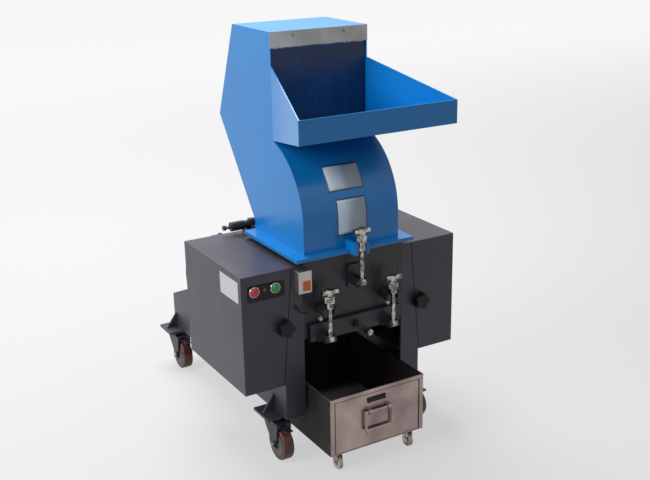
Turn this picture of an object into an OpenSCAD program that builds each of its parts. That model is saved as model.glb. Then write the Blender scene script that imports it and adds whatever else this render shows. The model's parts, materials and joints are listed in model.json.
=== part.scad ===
// Plastic granulator: a hopper with a feed tray over a knife chamber, on a wheeled sheet-metal base.
// +X is to the operator's right, +Y to the back, +Z up. Heights are from the floor.

/* [Base and casters] */
// Width over the two side guards
machine_w = 700; // [680:1:740]
// Half width of the base at the floor end
base_half_w = 226; // [220:1:240]
// Half width of the base at its deck
neck_half_w = 196; // [190:1:200]
// Length of the base from its front face
base_len = 815; // [790:1:860]
// Underside of the base
base_bottom_z = 138; // [136:1:142]
// Height where the sides of the base start to taper
knee_z = 261; // [255:1:268]
// Top of the base and of the guards
deck_z = 592; // [588:1:600]
// Sheet of the base
base_sheet = 6; // [4:0.5:8]
// Height of the base sides behind the guards
rear_side_z = 310; // [300:1:316]
// Height of the base sides at their rear end
rear_end_z = 256; // [230:1:270]
// Wheel diameter of the casters
caster_wheel_d = 100; // [96:1:102]
// Wheel width of the casters
caster_wheel_w = 32; // [26:1:36]
// Trail of each caster's axle behind its swivel
caster_trail = 38; // [32:1:40]
// Distance of the front swivels behind the front face
caster_front_y = 76; // [70:1:90]
// Distance of the rear swivels before the base's rear end
caster_rear_in = 15; // [10:1:35]
// Side of the square caster plates
caster_pad_w = 90; // [84:1:96]

/* [Guards] */
// Depth of the side guards
guard_d = 372; // [365:1:385]
// Underside of the side guards
guard_bottom_z = 247; // [240:1:252]
// Sheet of the guards
guard_sheet = 3; // [2:0.5:3.5]
// Height of the left guard's star knob
knob_left_z = 425; // [415:1:435]
// Height of the right guard's star knob
knob_right_z = 408; // [400:1:430]
// Star knob diameter
knob_d = 50; // [42:1:54]
// Width of the control panel
panel_w = 111; // [108:1:116]
// Height of the control panel
panel_h = 45; // [42:1:50]

/* [Chamber and rotor] */
// Inside width of the knife chamber
chamber_w = 302; // [298:1:304]
// Outside depth of the knife chamber
chamber_d = 300; // [296:1:304]
// Thickness of the chamber's side plates
side_plate = 12; // [10:0.5:12]
// Thickness of the chamber's front and rear walls
wall_plate = 14; // [12:0.5:15]
// Underside of the chamber's front wall
front_wall_z = 416; // [412:1:420]
// Height of the rotor's axis
rotor_z = 480; // [478:1:484]
// Radius of the circle that the fly knives' edges run on
rotor_r = 100; // [97:0.5:101]
// Radial gap between the fly knives and the bed knives
knife_gap = 1; // [0.5:0.1:1.5]
// Rotor shaft diameter
shaft_d = 45; // [40:1:48]
// Diameter of the drive pulley and the flywheel
pulley_d = 200; // [190:1:204]
// Width of the drive pulley
pulley_w = 56; // [54:0.5:57]
// Thickness of the screen
screen_t = 4; // [3:0.5:5]
// Diameter of the screen's holes
screen_hole_d = 8; // [7:0.5:8.5]

/* [Drive] */
// Distance of the motor's axis behind the front face
motor_y = 495; // [490:1:510]
// Height of the motor's axis above its tray
motor_h = 112; // [108:1:116]
// Radius of the motor's frame
motor_r = 90; // [80:1:94]
// Length of the motor's frame and fan cover
motor_len = 310; // [280:1:320]
// Diameter of the motor pulley
motor_pulley_d = 90; // [84:1:100]

/* [Hopper] */
// Outside width of the hopper
hopper_w = 308; // [304:1:309]
// Sheet of the hopper
hopper_sheet = 3; // [2:0.5:3]
// Top of the hopper
hopper_top_z = 1200; // [1180:1:1230]
// Distance of the hopper's mouth behind the front face
mouth_y = 164; // [160:1:166]
// Radius of the hopper's curved front
front_bend_r = 224; // [223:1:225]
// Height where the curved front starts
front_bend_z = 690; // [680:1:700]
// Rear end of the hopper's roof
roof_rear_y = 393; // [380:1:400]
// Distance of the hopper's rear corner behind the front face
bulge_y = 509; // [490:1:515]
// Height of the hopper's rear corner
bulge_z = 925; // [910:1:940]
// Height of the bright strip over the mouth
strip_h = 43; // [38:1:50]
// Distance of the feed tray's lip before the front face
tray_y = 145; // [130:1:155]
// Half width of the feed tray at its lip
tray_half_w = 242; // [220:1:250]
// Top of the tray's lip
lip_top_z = 1025; // [1015:1:1040]
// Bottom of the tray's lip
lip_bottom_z = 964; // [955:1:970]
// Top of the tray's sides at the mouth
tray_side_z = 1110; // [1090:1:1130]

/* [Bin] */
// Outside width of the bin
bin_w = 311; // [300:1:314]
// Length of the bin
bin_len = 420; // [400:1:440]
// Underside of the bin
bin_bottom_z = 56; // [54:1:60]
// Top of the bin
bin_top_z = 233; // [225:1:236]
// Distance of the bin's front before the machine's front face, as it stands
bin_out = 123; // [110:1:135]
// Wheel diameter of the bin
bin_wheel_d = 38; // [34:1:40]

/* [Clamps] */
// Distance of the clamp bolts before the front face
clamp_y = 45; // [44:0.5:47]
// Distance of the two lower clamp bolts from the middle
clamp_x = 105; // [98:1:108]
// Diameter of the clamp bolts
clamp_rod_d = 12; // [10:0.5:13]
// Diameter of the clamp nuts' bosses
clamp_boss_d = 22; // [20:0.5:22.5]
// Length of the clamp nuts' cross bars
clamp_bar_l = 50; // [44:1:54]

/* [Hidden] */
$fn = 48;

// Clearances: a shaft in its bore, pieces that move past each other, and the overrun of cuts
fit = 0.05;
gap = 0.3;
over = 1;

charcoal = [0.22, 0.21, 0.25];
black = [0.07, 0.07, 0.08];
blue = [0.09, 0.47, 0.8];
steel = [0.66, 0.66, 0.66];
stainless = [0.6, 0.58, 0.56];
zinc = [0.78, 0.78, 0.74];
pu_brown = [0.36, 0.14, 0.1];
cream = [0.86, 0.82, 0.72];
cast_grey = [0.35, 0.37, 0.38];

// The origin is at floor level under the middle of the whole machine
caster_rear_y = base_len - caster_rear_in;
rear_end_y = caster_rear_y + caster_pad_w / 2;
shift_y = (tray_y - rear_end_y) / 2;

// Chamber and rotor
chamber_half = chamber_w / 2;
side_outer = chamber_half + side_plate;
bay_half_w = side_outer;
rotor_y = chamber_d / 2;
flange_z = 606;
chamber_top_z = flange_z - gap;
chamber_low_z = 372;
cradle_pin_y = 268;
cradle_pin_z = 425;
cradle_pin_r = 8;
bed_knife_t = 14;
bed_knife_d = 30;
seat_h = 20;
seat_d = 32;
knife_side_gap = 2;
shaft_hole_r = 30;
bearing_flange = 120;
bearing_flange_t = 14;
bearing_boss_r = 42;
bearing_len = 38;
pulley_x = 210;
flywheel_t = 44;
shaft_end = 6;

// Hopper base and hinge
flange_t = 10;
hinge_web_z = 51;
flange_half_w = 190;
flange_front_y = 20;
hinge_y = 345;
hinge_rise = 12;
hinge_z = flange_z + hinge_rise;
hinge_r = 9;
hinge_lug_t = 15;
hinge_lug_r = 17;

// Guard hinges and knobs
guard_gap = 2;
knuckle_r = 7;
knuckle_out = 6;
guard_hinge_x = base_half_w + knuckle_out;
guard_hinge_y = guard_d + knuckle_r + over;
guard_hinge_low_z = 325;
guard_hinge_high_z = 580;
knuckle_h = 13;
guard_pin_r = 3.5;
knob_x = base_half_w;
knob_t = 22;
stud_r = 5;

// Belt cover behind the left guard
cover_in_x = 205;
cover_out_x = 275;
cover_sheet = 2.5;
cover_low_z = 345;
cover_top_z = 565;
cover_clear = 5;
cover_lap = 8;
cover_slot_x = 322;
cover_end_gap = 25;
motor_tray_t = 6;
motor_tray_z = 298;
motor_z = motor_tray_z + motor_tray_t + motor_h;
motor_left_x = -130;
motor_shaft_r = 19;

// Caster and bin wheels, each [x, y, angle of the fork about the swivel]
caster_r = caster_wheel_d / 2;
caster_bracket_t = 8;
fork_top_z = base_bottom_z - caster_bracket_t - gap;
front_right_deg = 10;
rear_right_deg = -25;
CASTERS = [
  [-base_half_w, caster_front_y, 0],
  [base_half_w, caster_front_y, front_right_deg],
  [-base_half_w, caster_rear_y, 0],
  [base_half_w, caster_rear_y, rear_right_deg]
];
kingpin_r = 6;
bin_wheel_r = bin_wheel_d / 2;
bin_wheel_x = 120;
bin_wheel_t = 14;
bin_front_wheel = 22;
bin_rear_wheel = 22;
bin_sheet = 2;

clamp_rod_r = clamp_rod_d / 2;
clamp_boss_r = clamp_boss_d / 2;
clamp_slot_gap = 1.3;
clamp_slot_half = clamp_boss_r + clamp_slot_gap;
clamp_bar_r = 8;
lower_pivot_z = 375;
lower_fork_z = 468;
lower_boss_z = 470;
lower_bar_z = 516;
upper_pivot_z = 522;
upper_boss_z = 618;
upper_bar_z = 674;
eye_r = 11;
eye_pin_r = 4;
clevis_gap = 1.5;
clevis_slot = clamp_rod_r + clevis_gap;
clevis_ear = 7;

module placed() {
  translate([0, shift_y, 0]) children();
}

// Box given by its low and high corners
module span(low, high) {
  translate(low) cube(high - low);
}

// Cylinder along X from x0 to x1
module bar_x(x0, x1, r, y, z) {
  translate([x0, y, z]) rotate([0, 90, 0]) cylinder(h = x1 - x0, r = r);
}

// Cylinder along Y from y0 to y1
module bar_y(y0, y1, r, x, z) {
  translate([x, y0, z]) rotate([-90, 0, 0]) cylinder(h = y1 - y0, r = r);
}

// Cylinder along Z from z0 to z1
module bar_z(z0, z1, r, x, y) {
  translate([x, y, z0]) cylinder(h = z1 - z0, r = r);
}

// Side outline (y, z) pushed along X from x0 to x1
module plate_x(x0, x1) {
  translate([x0, 0, 0]) rotate([90, 0, 90]) linear_extrude(x1 - x0) children();
}

// Front outline (x, z) pushed along Y from y0 to y1
module plate_y(y0, y1) {
  translate([0, y1, 0]) rotate([90, 0, 0]) linear_extrude(y1 - y0) children();
}

// Half width of the base at a height between the knee and the deck
function side_at(z) = z <= knee_z ? base_half_w
  : base_half_w - (base_half_w - neck_half_w) * (z - knee_z) / (deck_z - knee_z);

// Base

// Tapered face of one leg, between two heights
module leg_face(z0, z1) {
  polygon([
    [-bay_half_w, z0],
    [-side_at(z0), z0],
    [-base_half_w, max(z0, knee_z)],
    [-side_at(z1), z1],
    [-bay_half_w, z1]
  ]);
}

module base_side_outline() {
  rear_slope = 124;
  polygon([
    [base_sheet, base_bottom_z],
    [base_len, base_bottom_z],
    [base_len, rear_end_z],
    [base_len - rear_slope, rear_side_z],
    [guard_d, rear_side_z],
    [guard_d, knee_z],
    [base_sheet, knee_z]
  ]);
}

// Fixed knuckles and pin of one guard hinge, standing off the base's rear plate
module guard_hinge_fixed(z0) {
  leaf_t = 3;
  leaf_x = side_at(z0) - base_sheet;
  span([-guard_hinge_x, guard_hinge_y - leaf_t, z0 - knuckle_h], [-leaf_x, guard_hinge_y, z0]);
  span([-leaf_x - base_sheet, guard_d, z0 - knuckle_h], [-leaf_x, guard_hinge_y, z0]);
  bar_z(z0 - knuckle_h, z0, knuckle_r, -guard_hinge_x, guard_hinge_y);
  bar_z(z0 - over, z0 + knuckle_h, guard_pin_r, -guard_hinge_x, guard_hinge_y);
}

// Open slot behind the guard's front sheet, where the star knob's stud grips
module knob_tab(z) {
  tab_h = 40;
  tab_out = 20;
  difference() {
    span([-knob_x - tab_out, base_sheet, z - tab_h / 2], [-bay_half_w, base_sheet * 2, z + tab_h / 2]);
    span([-knob_x - tab_out - over, 0, z - stud_r - over], [-knob_x + stud_r + over, guard_d, z + stud_r + over]);
  }
}

// Left half of the base, a welded sheet body; belt_notch lets the belts out of its rear plate
module base_side(knob_z, belt_notch) {
  notch_top = cover_top_z + cover_lap + over;
  notch_low = cover_low_z - cover_lap - over;
  plate_y(0, base_sheet) leg_face(base_bottom_z, deck_z);
  difference() {
    plate_y(guard_d - base_sheet, guard_d) leg_face(knee_z, deck_z);
    if (belt_notch)
      span([-machine_w, 0, notch_low], [-cover_in_x + over, guard_d + over, notch_top]);
  }
  plate_x(-base_half_w, -base_half_w + base_sheet) base_side_outline();
  span([-base_half_w, base_sheet, base_bottom_z], [-bay_half_w, base_len, base_bottom_z + base_sheet]);
  span([-base_half_w, base_sheet, knee_z - base_sheet], [-bay_half_w, guard_d, knee_z]);
  span([-neck_half_w, 0, deck_z - base_sheet], [-bay_half_w, guard_d, deck_z]);
  guard_hinge_fixed(guard_hinge_low_z);
  guard_hinge_fixed(guard_hinge_high_z);
  knob_tab(knob_z);
}

module frame_left() {
  placed() color(charcoal) base_side(knob_left_z, true);
}

module frame_right() {
  placed() color(charcoal) mirror([1, 0, 0]) base_side(knob_right_z, false);
}

// Tray that carries the motor, its rear end folded down, with the supply cable's inlet hole
module motor_tray() {
  front_run = 112;
  rear_shelf = 115;
  inner = base_half_w - base_sheet;
  front_y = motor_y - front_run;
  fold_y = base_len - rear_shelf;
  inlet_x = 150;
  inlet_z = 200;
  inlet_r = 10.5;
  placed() color(charcoal) difference() {
    union() {
      span([-inner, front_y, motor_tray_z], [inner, fold_y, motor_tray_z + motor_tray_t]);
      span([-inner, fold_y - motor_tray_t, rear_end_z - motor_tray_t], [inner, fold_y, motor_tray_z + over]);
      span([-inner, fold_y - over, rear_end_z - motor_tray_t], [inner, base_len, rear_end_z]);
      span([-inner, base_len - motor_tray_t, base_bottom_z + base_sheet], [inner, base_len, rear_end_z - over]);
    }
    bar_y(base_len - motor_tray_t * 2, base_len + over, inlet_r, -inlet_x, inlet_z);
  }
}

// Plates and ribs under the base's corners that the casters are bolted to
module caster_brackets() {
  half = caster_pad_w / 2;
  rib_h = 52;
  placed() color(charcoal) for (c = CASTERS) {
    side = sign(c[0]);
    difference() {
      union() {
        translate([c[0], c[1], base_bottom_z - caster_bracket_t / 2])
          cube([caster_pad_w, caster_pad_w, caster_bracket_t], center = true);
        plate_y(c[1] - base_sheet / 2, c[1] + base_sheet / 2) polygon([
          [c[0], base_bottom_z - over],
          [c[0] + side * (half - base_sheet), base_bottom_z - over],
          [c[0] + side * (half - base_sheet), base_bottom_z],
          [c[0] + side * over, base_bottom_z + rib_h],
          [c[0], base_bottom_z + rib_h]
        ]);
      }
      bar_z(base_bottom_z - caster_bracket_t - over, base_bottom_z - over, kingpin_r + fit, c[0], c[1]);
    }
  }
}

// Chamber

module chamber_side() {
  difference() {
    span([-side_outer, 0, chamber_low_z], [-chamber_half, guard_d, chamber_top_z]);
    bar_x(-side_outer - over, -chamber_half + over, shaft_hole_r, rotor_y, rotor_z);
    bar_x(-side_outer - over, -chamber_half + over, cradle_pin_r + fit, cradle_pin_y, cradle_pin_z);
  }
}

module chamber_side_left() {
  placed() color(black) chamber_side();
}

module chamber_side_right() {
  placed() color(black) mirror([1, 0, 0]) chamber_side();
}

module chamber_front_wall() {
  seat_top = rotor_z - bed_knife_t;
  placed() color(black) {
    span([-chamber_half, 0, front_wall_z], [chamber_half, wall_plate, chamber_top_z]);
    span([-chamber_half, wall_plate, seat_top - seat_h], [chamber_half, wall_plate + seat_d, seat_top]);
  }
}

// Rear wall with the two lugs that carry the hopper's hinge pin
module chamber_rear_wall() {
  seat_top = rotor_z - bed_knife_t;
  inner_y = chamber_d - wall_plate;
  placed() color(black) {
    span([-chamber_half, inner_y, seat_top - seat_h], [chamber_half, chamber_d, chamber_top_z]);
    span([-chamber_half, inner_y - seat_d, seat_top - seat_h], [chamber_half, inner_y, seat_top]);
    for (side = [-1, 1]) difference() {
      x0 = side * (chamber_half - hinge_lug_t / 2) - hinge_lug_t / 2;
      union() {
        bar_x(x0, x0 + hinge_lug_t, hinge_lug_r, hinge_y, hinge_z);
        span([x0, chamber_d - over, hinge_z - hinge_web_z], [x0 + hinge_lug_t, hinge_y, chamber_top_z]);
        span([x0, chamber_d + gap, chamber_top_z - over], [x0 + hinge_lug_t, hinge_y, hinge_z]);
      }
      bar_x(x0 - over, x0 + hinge_lug_t + over, hinge_r + fit, hinge_y, hinge_z);
    }
  }
}

// Fixed knives, one before and one behind the rotor
module bed_knives() {
  edge = rotor_r + knife_gap;
  half_l = chamber_half - knife_side_gap;
  placed() color(steel) for (side = [-1, 1]) {
    y0 = rotor_y + side * edge;
    y1 = y0 + side * bed_knife_d;
    span([-half_l, min(y0, y1), rotor_z - bed_knife_t], [half_l, max(y0, y1), rotor_z]);
  }
}

// Hexagon head with its washer, standing along +Z
module hex_head(r, h) {
  washer_h = 1.5;
  cylinder(h = washer_h, r = r * 1.2);
  cylinder(h = washer_h + h, r = r, $fn = 6);
}

// Bolt heads on the bed knives, the clamp brackets and the bearings
module chamber_bolts() {
  head_r = 8;
  head_h = 6;
  row_shares = [-0.8, -0.3, 0.3, 0.8];
  knife_bolt_y = rotor_r + knife_gap + bed_knife_d - head_r * 1.5;
  bearing_bolt = bearing_flange / 2 - head_r * 1.6;
  bracket_bolt_x = 113;
  placed() color(zinc) {
    for (side = [-1, 1], share = row_shares)
      translate([share * chamber_half, rotor_y + side * knife_bolt_y, rotor_z]) hex_head(head_r, head_h);
    for (side = [-1, 1])
      translate([side * bracket_bolt_x, 0, front_wall_z + head_r]) rotate([90, 0, 0])
        intersection() {
          hex_head(head_r * 0.75, head_h);
          cylinder(h = head_h * 2, r = head_r);
        }
    for (side = [-1, 1], dy = [-1, 1], dz = [-1, 1])
      translate([side * (side_outer + bearing_flange_t), rotor_y + dy * bearing_bolt, rotor_z + dz * bearing_bolt])
        rotate([0, side * 90, 0]) hex_head(head_r, head_h);
  }
}

// Square flange bearings of the rotor shaft
module bearing_housings() {
  placed() color(cast_grey) for (side = [0, 1]) mirror([side, 0, 0]) difference() {
    union() {
      span(
        [-side_outer - bearing_flange_t, rotor_y - bearing_flange / 2, rotor_z - bearing_flange / 2],
        [-side_outer, rotor_y + bearing_flange / 2, rotor_z + bearing_flange / 2]
      );
      bar_x(-side_outer - bearing_len, -side_outer, bearing_boss_r, rotor_y, rotor_z);
    }
    bar_x(-side_outer - bearing_len - over, -side_outer + over, shaft_d / 2 + fit, rotor_y, rotor_z);
  }
}

// Fork on the chamber's front that a lower clamp bolt closes on
module clamp_fork(x) {
  prong = 10;
  base_t = 8;
  fork_h = 18;
  difference() {
    span(
      [x - clamp_slot_half - prong, -clamp_y - clamp_boss_r / 2, lower_fork_z - fork_h],
      [x + clamp_slot_half + prong, 0, lower_fork_z]
    );
    span(
      [x - clamp_slot_half, -clamp_y * 2, lower_fork_z - fork_h - over],
      [x + clamp_slot_half, -base_t, lower_fork_z + over]
    );
  }
}

// Two ears on a back plate that an eye bolt's pin turns in; the back plate faces y = back
module clevis(x, back, pivot_z, low_z, high_z) {
  base_t = 8;
  pad = 8;
  half = clevis_slot + clevis_ear + pad;
  difference() {
    union() {
      span([x - half, back - base_t, low_z], [x + half, back, high_z]);
      for (side = [-1, 1]) {
        x0 = x + side * (clevis_slot + clevis_ear / 2) - clevis_ear / 2;
        bar_x(x0, x0 + clevis_ear, eye_r, -clamp_y, pivot_z);
        span([x0, -clamp_y, pivot_z - eye_r], [x0 + clevis_ear, back - base_t + over, pivot_z + eye_r]);
      }
    }
    bar_x(x - half, x + half, eye_pin_r + fit, -clamp_y, pivot_z);
  }
}

module clamp_brackets() {
  back_low = 502;
  back_high = 567;
  placed() color(black) {
    clamp_fork(-clamp_x);
    clamp_fork(clamp_x);
    clevis(0, 0, upper_pivot_z, back_low, back_high);
  }
}

// Drive

// Motor with its feet, fan cover and terminal box
module motor_body() {
  foot_w = 30;
  foot_gap = motor_r * 0.95;
  cap = 12;
  fan_l = 60;
  box_w = 90;
  box_h = 30;
  right_x = motor_left_x + motor_len;
  nose_r = motor_r * 0.6;
  placed() color(cast_grey) difference() {
    union() {
      bar_x(motor_left_x, motor_left_x + cap, nose_r, motor_y, motor_z);
      bar_x(motor_left_x + cap, right_x - fan_l, motor_r, motor_y, motor_z);
      bar_x(right_x - fan_l, right_x, motor_r * 0.97, motor_y, motor_z);
      for (side = [-1, 1])
        span(
          [motor_left_x + cap * 2, motor_y + side * foot_gap - foot_w / 2, motor_tray_z + motor_tray_t],
          [right_x - fan_l * 1.5, motor_y + side * foot_gap + foot_w / 2, motor_tray_z + motor_tray_t + cap]
        );
      span(
        [motor_left_x + cap * 2, motor_y - foot_gap, motor_tray_z + motor_tray_t + cap / 2],
        [right_x - fan_l * 1.5, motor_y + foot_gap, motor_z - motor_r / 2]
      );
      span(
        [motor_left_x + motor_len * 0.25, motor_y - box_w / 2, motor_z],
        [motor_left_x + motor_len * 0.25 + box_w, motor_y + box_w / 2, motor_z + motor_r + box_h]
      );
    }
    bar_x(motor_left_x - over, motor_left_x + cap * 2, motor_shaft_r + fit, motor_y, motor_z);
  }
}

// Side outline of the belt cover, drawn in by t
module cover_outline(t) {
  slope_run = 80;
  slope_y = motor_y - slope_run;
  end_r = motor_pulley_d / 2 + cover_end_gap;
  polygon([
    [guard_d, cover_low_z + t],
    [guard_d, cover_top_z - t],
    [slope_y, cover_top_z - t],
    [motor_y + end_r / 2, motor_z + end_r * 0.86 - t],
    [motor_y, motor_z],
    [motor_y, cover_low_z + t]
  ]);
  translate([motor_y, motor_z]) circle(r = end_r - t);
}

// Cover of the belts behind the left guard, on a foot that stands on the base
module belt_cover() {
  foot_run = 100;
  foot_y = motor_y - foot_run;
  foot_w = 40;
  foot_x = (cover_in_x + cover_out_x) / 2;
  back_y = guard_d - guard_sheet - over;
  shaft_hole = motor_shaft_r + cover_clear;
  placed() color(charcoal) {
    difference() {
      plate_x(-cover_out_x, -cover_in_x) cover_outline(0);
      plate_x(-cover_out_x + cover_sheet, -cover_in_x - cover_sheet) cover_outline(cover_sheet);
      span(
        [-cover_out_x + cover_sheet, 0, cover_low_z + cover_sheet],
        [-cover_in_x - cover_sheet, guard_d + over, cover_top_z - cover_sheet]
      );
      bar_x(-cover_in_x - cover_sheet * 2, -cover_in_x + over, shaft_hole, motor_y, motor_z);
    }
    difference() {
      span(
        [-cover_slot_x - guard_sheet, back_y - cover_sheet, cover_low_z - cover_lap],
        [-cover_in_x, back_y, cover_top_z + cover_lap]
      );
      span(
        [-cover_out_x + cover_sheet, 0, cover_low_z + cover_sheet],
        [-cover_in_x - cover_sheet, guard_d + over, cover_top_z - cover_sheet]
      );
    }
    difference() {
      span([-cover_out_x, back_y - over, cover_low_z], [-cover_in_x, guard_d + over, cover_top_z]);
      span(
        [-cover_out_x + cover_sheet, 0, cover_low_z + cover_sheet],
        [-cover_in_x - cover_sheet, guard_d * 2, cover_top_z - cover_sheet]
      );
    }
    span(
      [-base_half_w, foot_y, rear_side_z],
      [-base_half_w + base_sheet, foot_y + foot_w, cover_low_z + cover_sheet / 2]
    );
    span(
      [min(-foot_x, -base_half_w), foot_y, cover_low_z - cover_sheet],
      [max(-foot_x, -base_half_w) + base_sheet, foot_y + foot_w, cover_low_z + cover_sheet / 2]
    );
  }
}

belt_n = 3;
belt_pitch = pulley_w / (belt_n + 0.3);
belt_h = 8;
belt_w = 11;
belt_sink = 2;
groove_floor = 2;
groove_h = belt_h + belt_sink + groove_floor;

// X position of belt number i, counted from the bearing outward
function belt_x(i) = -pulley_x - pulley_w / 2 + (i - (belt_n - 1) / 2) * belt_pitch;

// Outline of a belt loop round both pulleys, at a depth under their rims
module belt_loop(depth) {
  r1 = pulley_d / 2 - depth;
  r2 = motor_pulley_d / 2 - depth;
  dy = motor_y - rotor_y;
  dz = motor_z - rotor_z;
  run = sqrt(dy * dy + dz * dz);
  lean = asin((r1 - r2) / run);
  tilt = atan2(dz, dy);
  up = 90 - lean + tilt;
  down = -90 + lean + tilt;
  translate([rotor_y, rotor_z]) circle(r = r1);
  translate([motor_y, motor_z]) circle(r = r2);
  polygon([
    [rotor_y + r1 * cos(up), rotor_z + r1 * sin(up)],
    [motor_y + r2 * cos(up), motor_z + r2 * sin(up)],
    [motor_y, motor_z],
    [motor_y + r2 * cos(down), motor_z + r2 * sin(down)],
    [rotor_y + r1 * cos(down), rotor_z + r1 * sin(down)],
    [rotor_y, rotor_z]
  ]);
}

module drive_belts() {
  placed() color(black) for (i = [0 : belt_n - 1])
    plate_x(belt_x(i) - belt_w / 2, belt_x(i) + belt_w / 2) difference() {
      belt_loop(belt_sink);
      belt_loop(belt_sink + belt_h);
    }
}

// Pulley rim with its belt grooves, on the belts' places along X
module grooved_pulley(r, y, z) {
  side_clear = gap;
  difference() {
    bar_x(-pulley_x - pulley_w, -pulley_x, r, y, z);
    for (i = [0 : belt_n - 1]) {
      x0 = belt_x(i) - belt_w / 2 - side_clear;
      difference() {
        bar_x(x0, x0 + belt_w + side_clear * 2, r + over, y, z);
        bar_x(x0 - over, x0 + belt_w + side_clear * 2 + over, r - groove_h, y, z);
      }
    }
  }
}

// Limit switch and its cable

switch_x0 = 189;
switch_x1 = 148;
switch_z0 = 520;
switch_z1 = 583;
switch_d = 25;
plunger_x = 168;
plunger_y = 12;
plunger_r = 4;
plunger_bore_d = 20;

module switch_body() {
  placed() color(stainless) difference() {
    span([-switch_x0, -switch_d, switch_z0], [-switch_x1, 0, switch_z1]);
    bar_z(switch_z1 - plunger_bore_d, switch_z1 + over, plunger_r + fit, -plunger_x, -plunger_y);
  }
}

module switch_plunger() {
  stem = 12;
  placed() color(black)
    bar_z(switch_z1 - stem, flange_z - gap, plunger_r, -plunger_x, -plunger_y);
}

// Route of the switch cable's middle line, from the switch's underside round to the leg
cable_r = 2.5;
cable_route = [
  [-162, -12, 520], [-160, -13, 510], [-156, -15, 498], [-152, -16, 486], [-152, -17, 473],
  [-157, -17, 463], [-166, -16, 458], [-176, -14, 460], [-184, -11, 467], [-187, -7, 475],
  [-188, -3, 480], [-188, 0, 482]
];
cable_sides = 8;

// Direction of the route at point i
function cable_dir(i) =
  let (
    a = cable_route[max(i - 1, 0)],
    b = cable_route[min(i + 1, len(cable_route) - 1)],
    d = b - a
  )
  i == 0 ? [0, 0, -1] : i == len(cable_route) - 1 ? [0, 1, 0] : d / norm(d);

// Ring of points round point i, square to the route
function cable_ring(i) =
  let (
    d = cable_dir(i),
    u0 = cross(d, abs(d[0]) > 0.9 ? [0, 0, 1] : [1, 0, 0]),
    u = u0 / norm(u0),
    v = cross(d, u)
  )
  [for (k = [0 : cable_sides - 1])
    let (a = 360 * k / cable_sides)
    cable_route[i] + cable_r * (u * cos(a) + v * sin(a)) + [0, shift_y, 0]];

module switch_cable() {
  n = len(cable_route);
  m = cable_sides;
  points = [for (i = [0 : n - 1]) each cable_ring(i)];
  faces = [
    [for (k = [0 : m - 1]) k],
    [for (k = [0 : m - 1]) (n - 1) * m + m - 1 - k],
    for (i = [0 : n - 2], k = [0 : m - 1])
      each [
        [i * m + k, i * m + m + k, i * m + (k + 1) % m],
        [i * m + (k + 1) % m, i * m + m + k, i * m + m + (k + 1) % m]
      ]
  ];
  color(black) polyhedron(points = points, faces = faces);
}

// Guards

guard_half = machine_w / 2;
panel_in = 19;
panel_x0 = guard_half - panel_in;
panel_z0 = 518;
panel_t = 2;
button_r = 11;
bezel_r = 15.5;
bezel_t = 6;
button_z = panel_z0 + panel_h / 2 + bezel_r * 0.4;
stop_x = -panel_x0 + bezel_r * 1.2;
start_x = -panel_x0 + panel_w - bezel_r * 1.9;
button_out = 6;
button_travel = 4;

module guard_outline(t) {
  low = guard_bottom_z + t;
  high = deck_z - t;
  polygon([
    [-guard_half + t, low],
    [-guard_half + t, high],
    [-side_at(high) - guard_gap + (t > 0 ? guard_half : 0), high],
    [-base_half_w - guard_gap + (t > 0 ? guard_half : 0), knee_z],
    [-base_half_w - guard_gap + (t > 0 ? guard_half : 0), low]
  ]);
}

// Moving knuckle of one guard hinge, above its fixed one
module guard_knuckle(z0) {
  leaf_t = 4;
  leaf_l = 30;
  low = z0 + gap;
  difference() {
    union() {
      bar_z(low, z0 + knuckle_h - over, knuckle_r, -guard_hinge_x, guard_hinge_y);
      span(
        [-guard_hinge_x - leaf_l, guard_d, low],
        [-guard_hinge_x, guard_d + leaf_t, z0 + knuckle_h - over]
      );
    }
    bar_z(z0 - over, z0 + knuckle_h + over, guard_pin_r + fit, -guard_hinge_x, guard_hinge_y);
  }
}

// One side guard: a box open toward the chamber, hinged at its rear edge
module guard(knob_z) {
  difference() {
    plate_y(0, guard_d) guard_outline(0);
    plate_y(guard_sheet, guard_d - guard_sheet) guard_outline(guard_sheet);
    bar_y(-over, guard_sheet + over, stud_r + fit, -knob_x, knob_z);
  }
  guard_knuckle(guard_hinge_low_z);
  guard_knuckle(guard_hinge_high_z);
}

module guard_left() {
  slot_z = cover_lap / 2;
  placed() color(charcoal) difference() {
    guard(knob_left_z);
    span(
      [-cover_slot_x, guard_d - guard_sheet - over, cover_low_z - slot_z],
      [-bay_half_w, guard_d + over, cover_top_z + slot_z]
    );
    span(
      [-guard_hinge_x - cover_lap * 2, guard_d - guard_sheet - over, cover_low_z - cover_lap - over],
      [-bay_half_w, guard_d + over, cover_top_z + cover_lap + over]
    );
    span(
      [-panel_x0 + panel_t * 3, -over, panel_z0 + panel_t * 2],
      [-panel_x0 + panel_w - panel_t * 3, guard_sheet + over, panel_z0 + panel_h - panel_t]
    );
  }
}

module guard_right() {
  placed() color(charcoal) mirror([1, 0, 0]) guard(knob_right_z);
}

// Panel with the switch box behind it and the two buttons' bezels before it
module control_panel() {
  box_d = 45;
  bore_d = 30;
  placed() color(black) difference() {
    union() {
      span([-panel_x0, -panel_t, panel_z0], [-panel_x0 + panel_w, 0, panel_z0 + panel_h]);
      span(
        [-panel_x0 + panel_t * 4, -over, panel_z0 + panel_t * 3],
        [-panel_x0 + panel_w - panel_t * 4, box_d, panel_z0 + panel_h - panel_t * 2]
      );
      for (x = [stop_x, start_x]) bar_y(-bezel_t, 0, bezel_r, x, button_z);
    }
    for (x = [stop_x, start_x]) bar_y(-bezel_t - over, bore_d, button_r + fit, x, button_z);
  }
}

module push_button(x) {
  stem = 18;
  bar_y(-bezel_t - button_out, stem, button_r, x, button_z);
}

module stop_button() {
  placed() color("red") push_button(stop_x);
}

module start_button() {
  placed() color("green") push_button(start_x);
}

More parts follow.
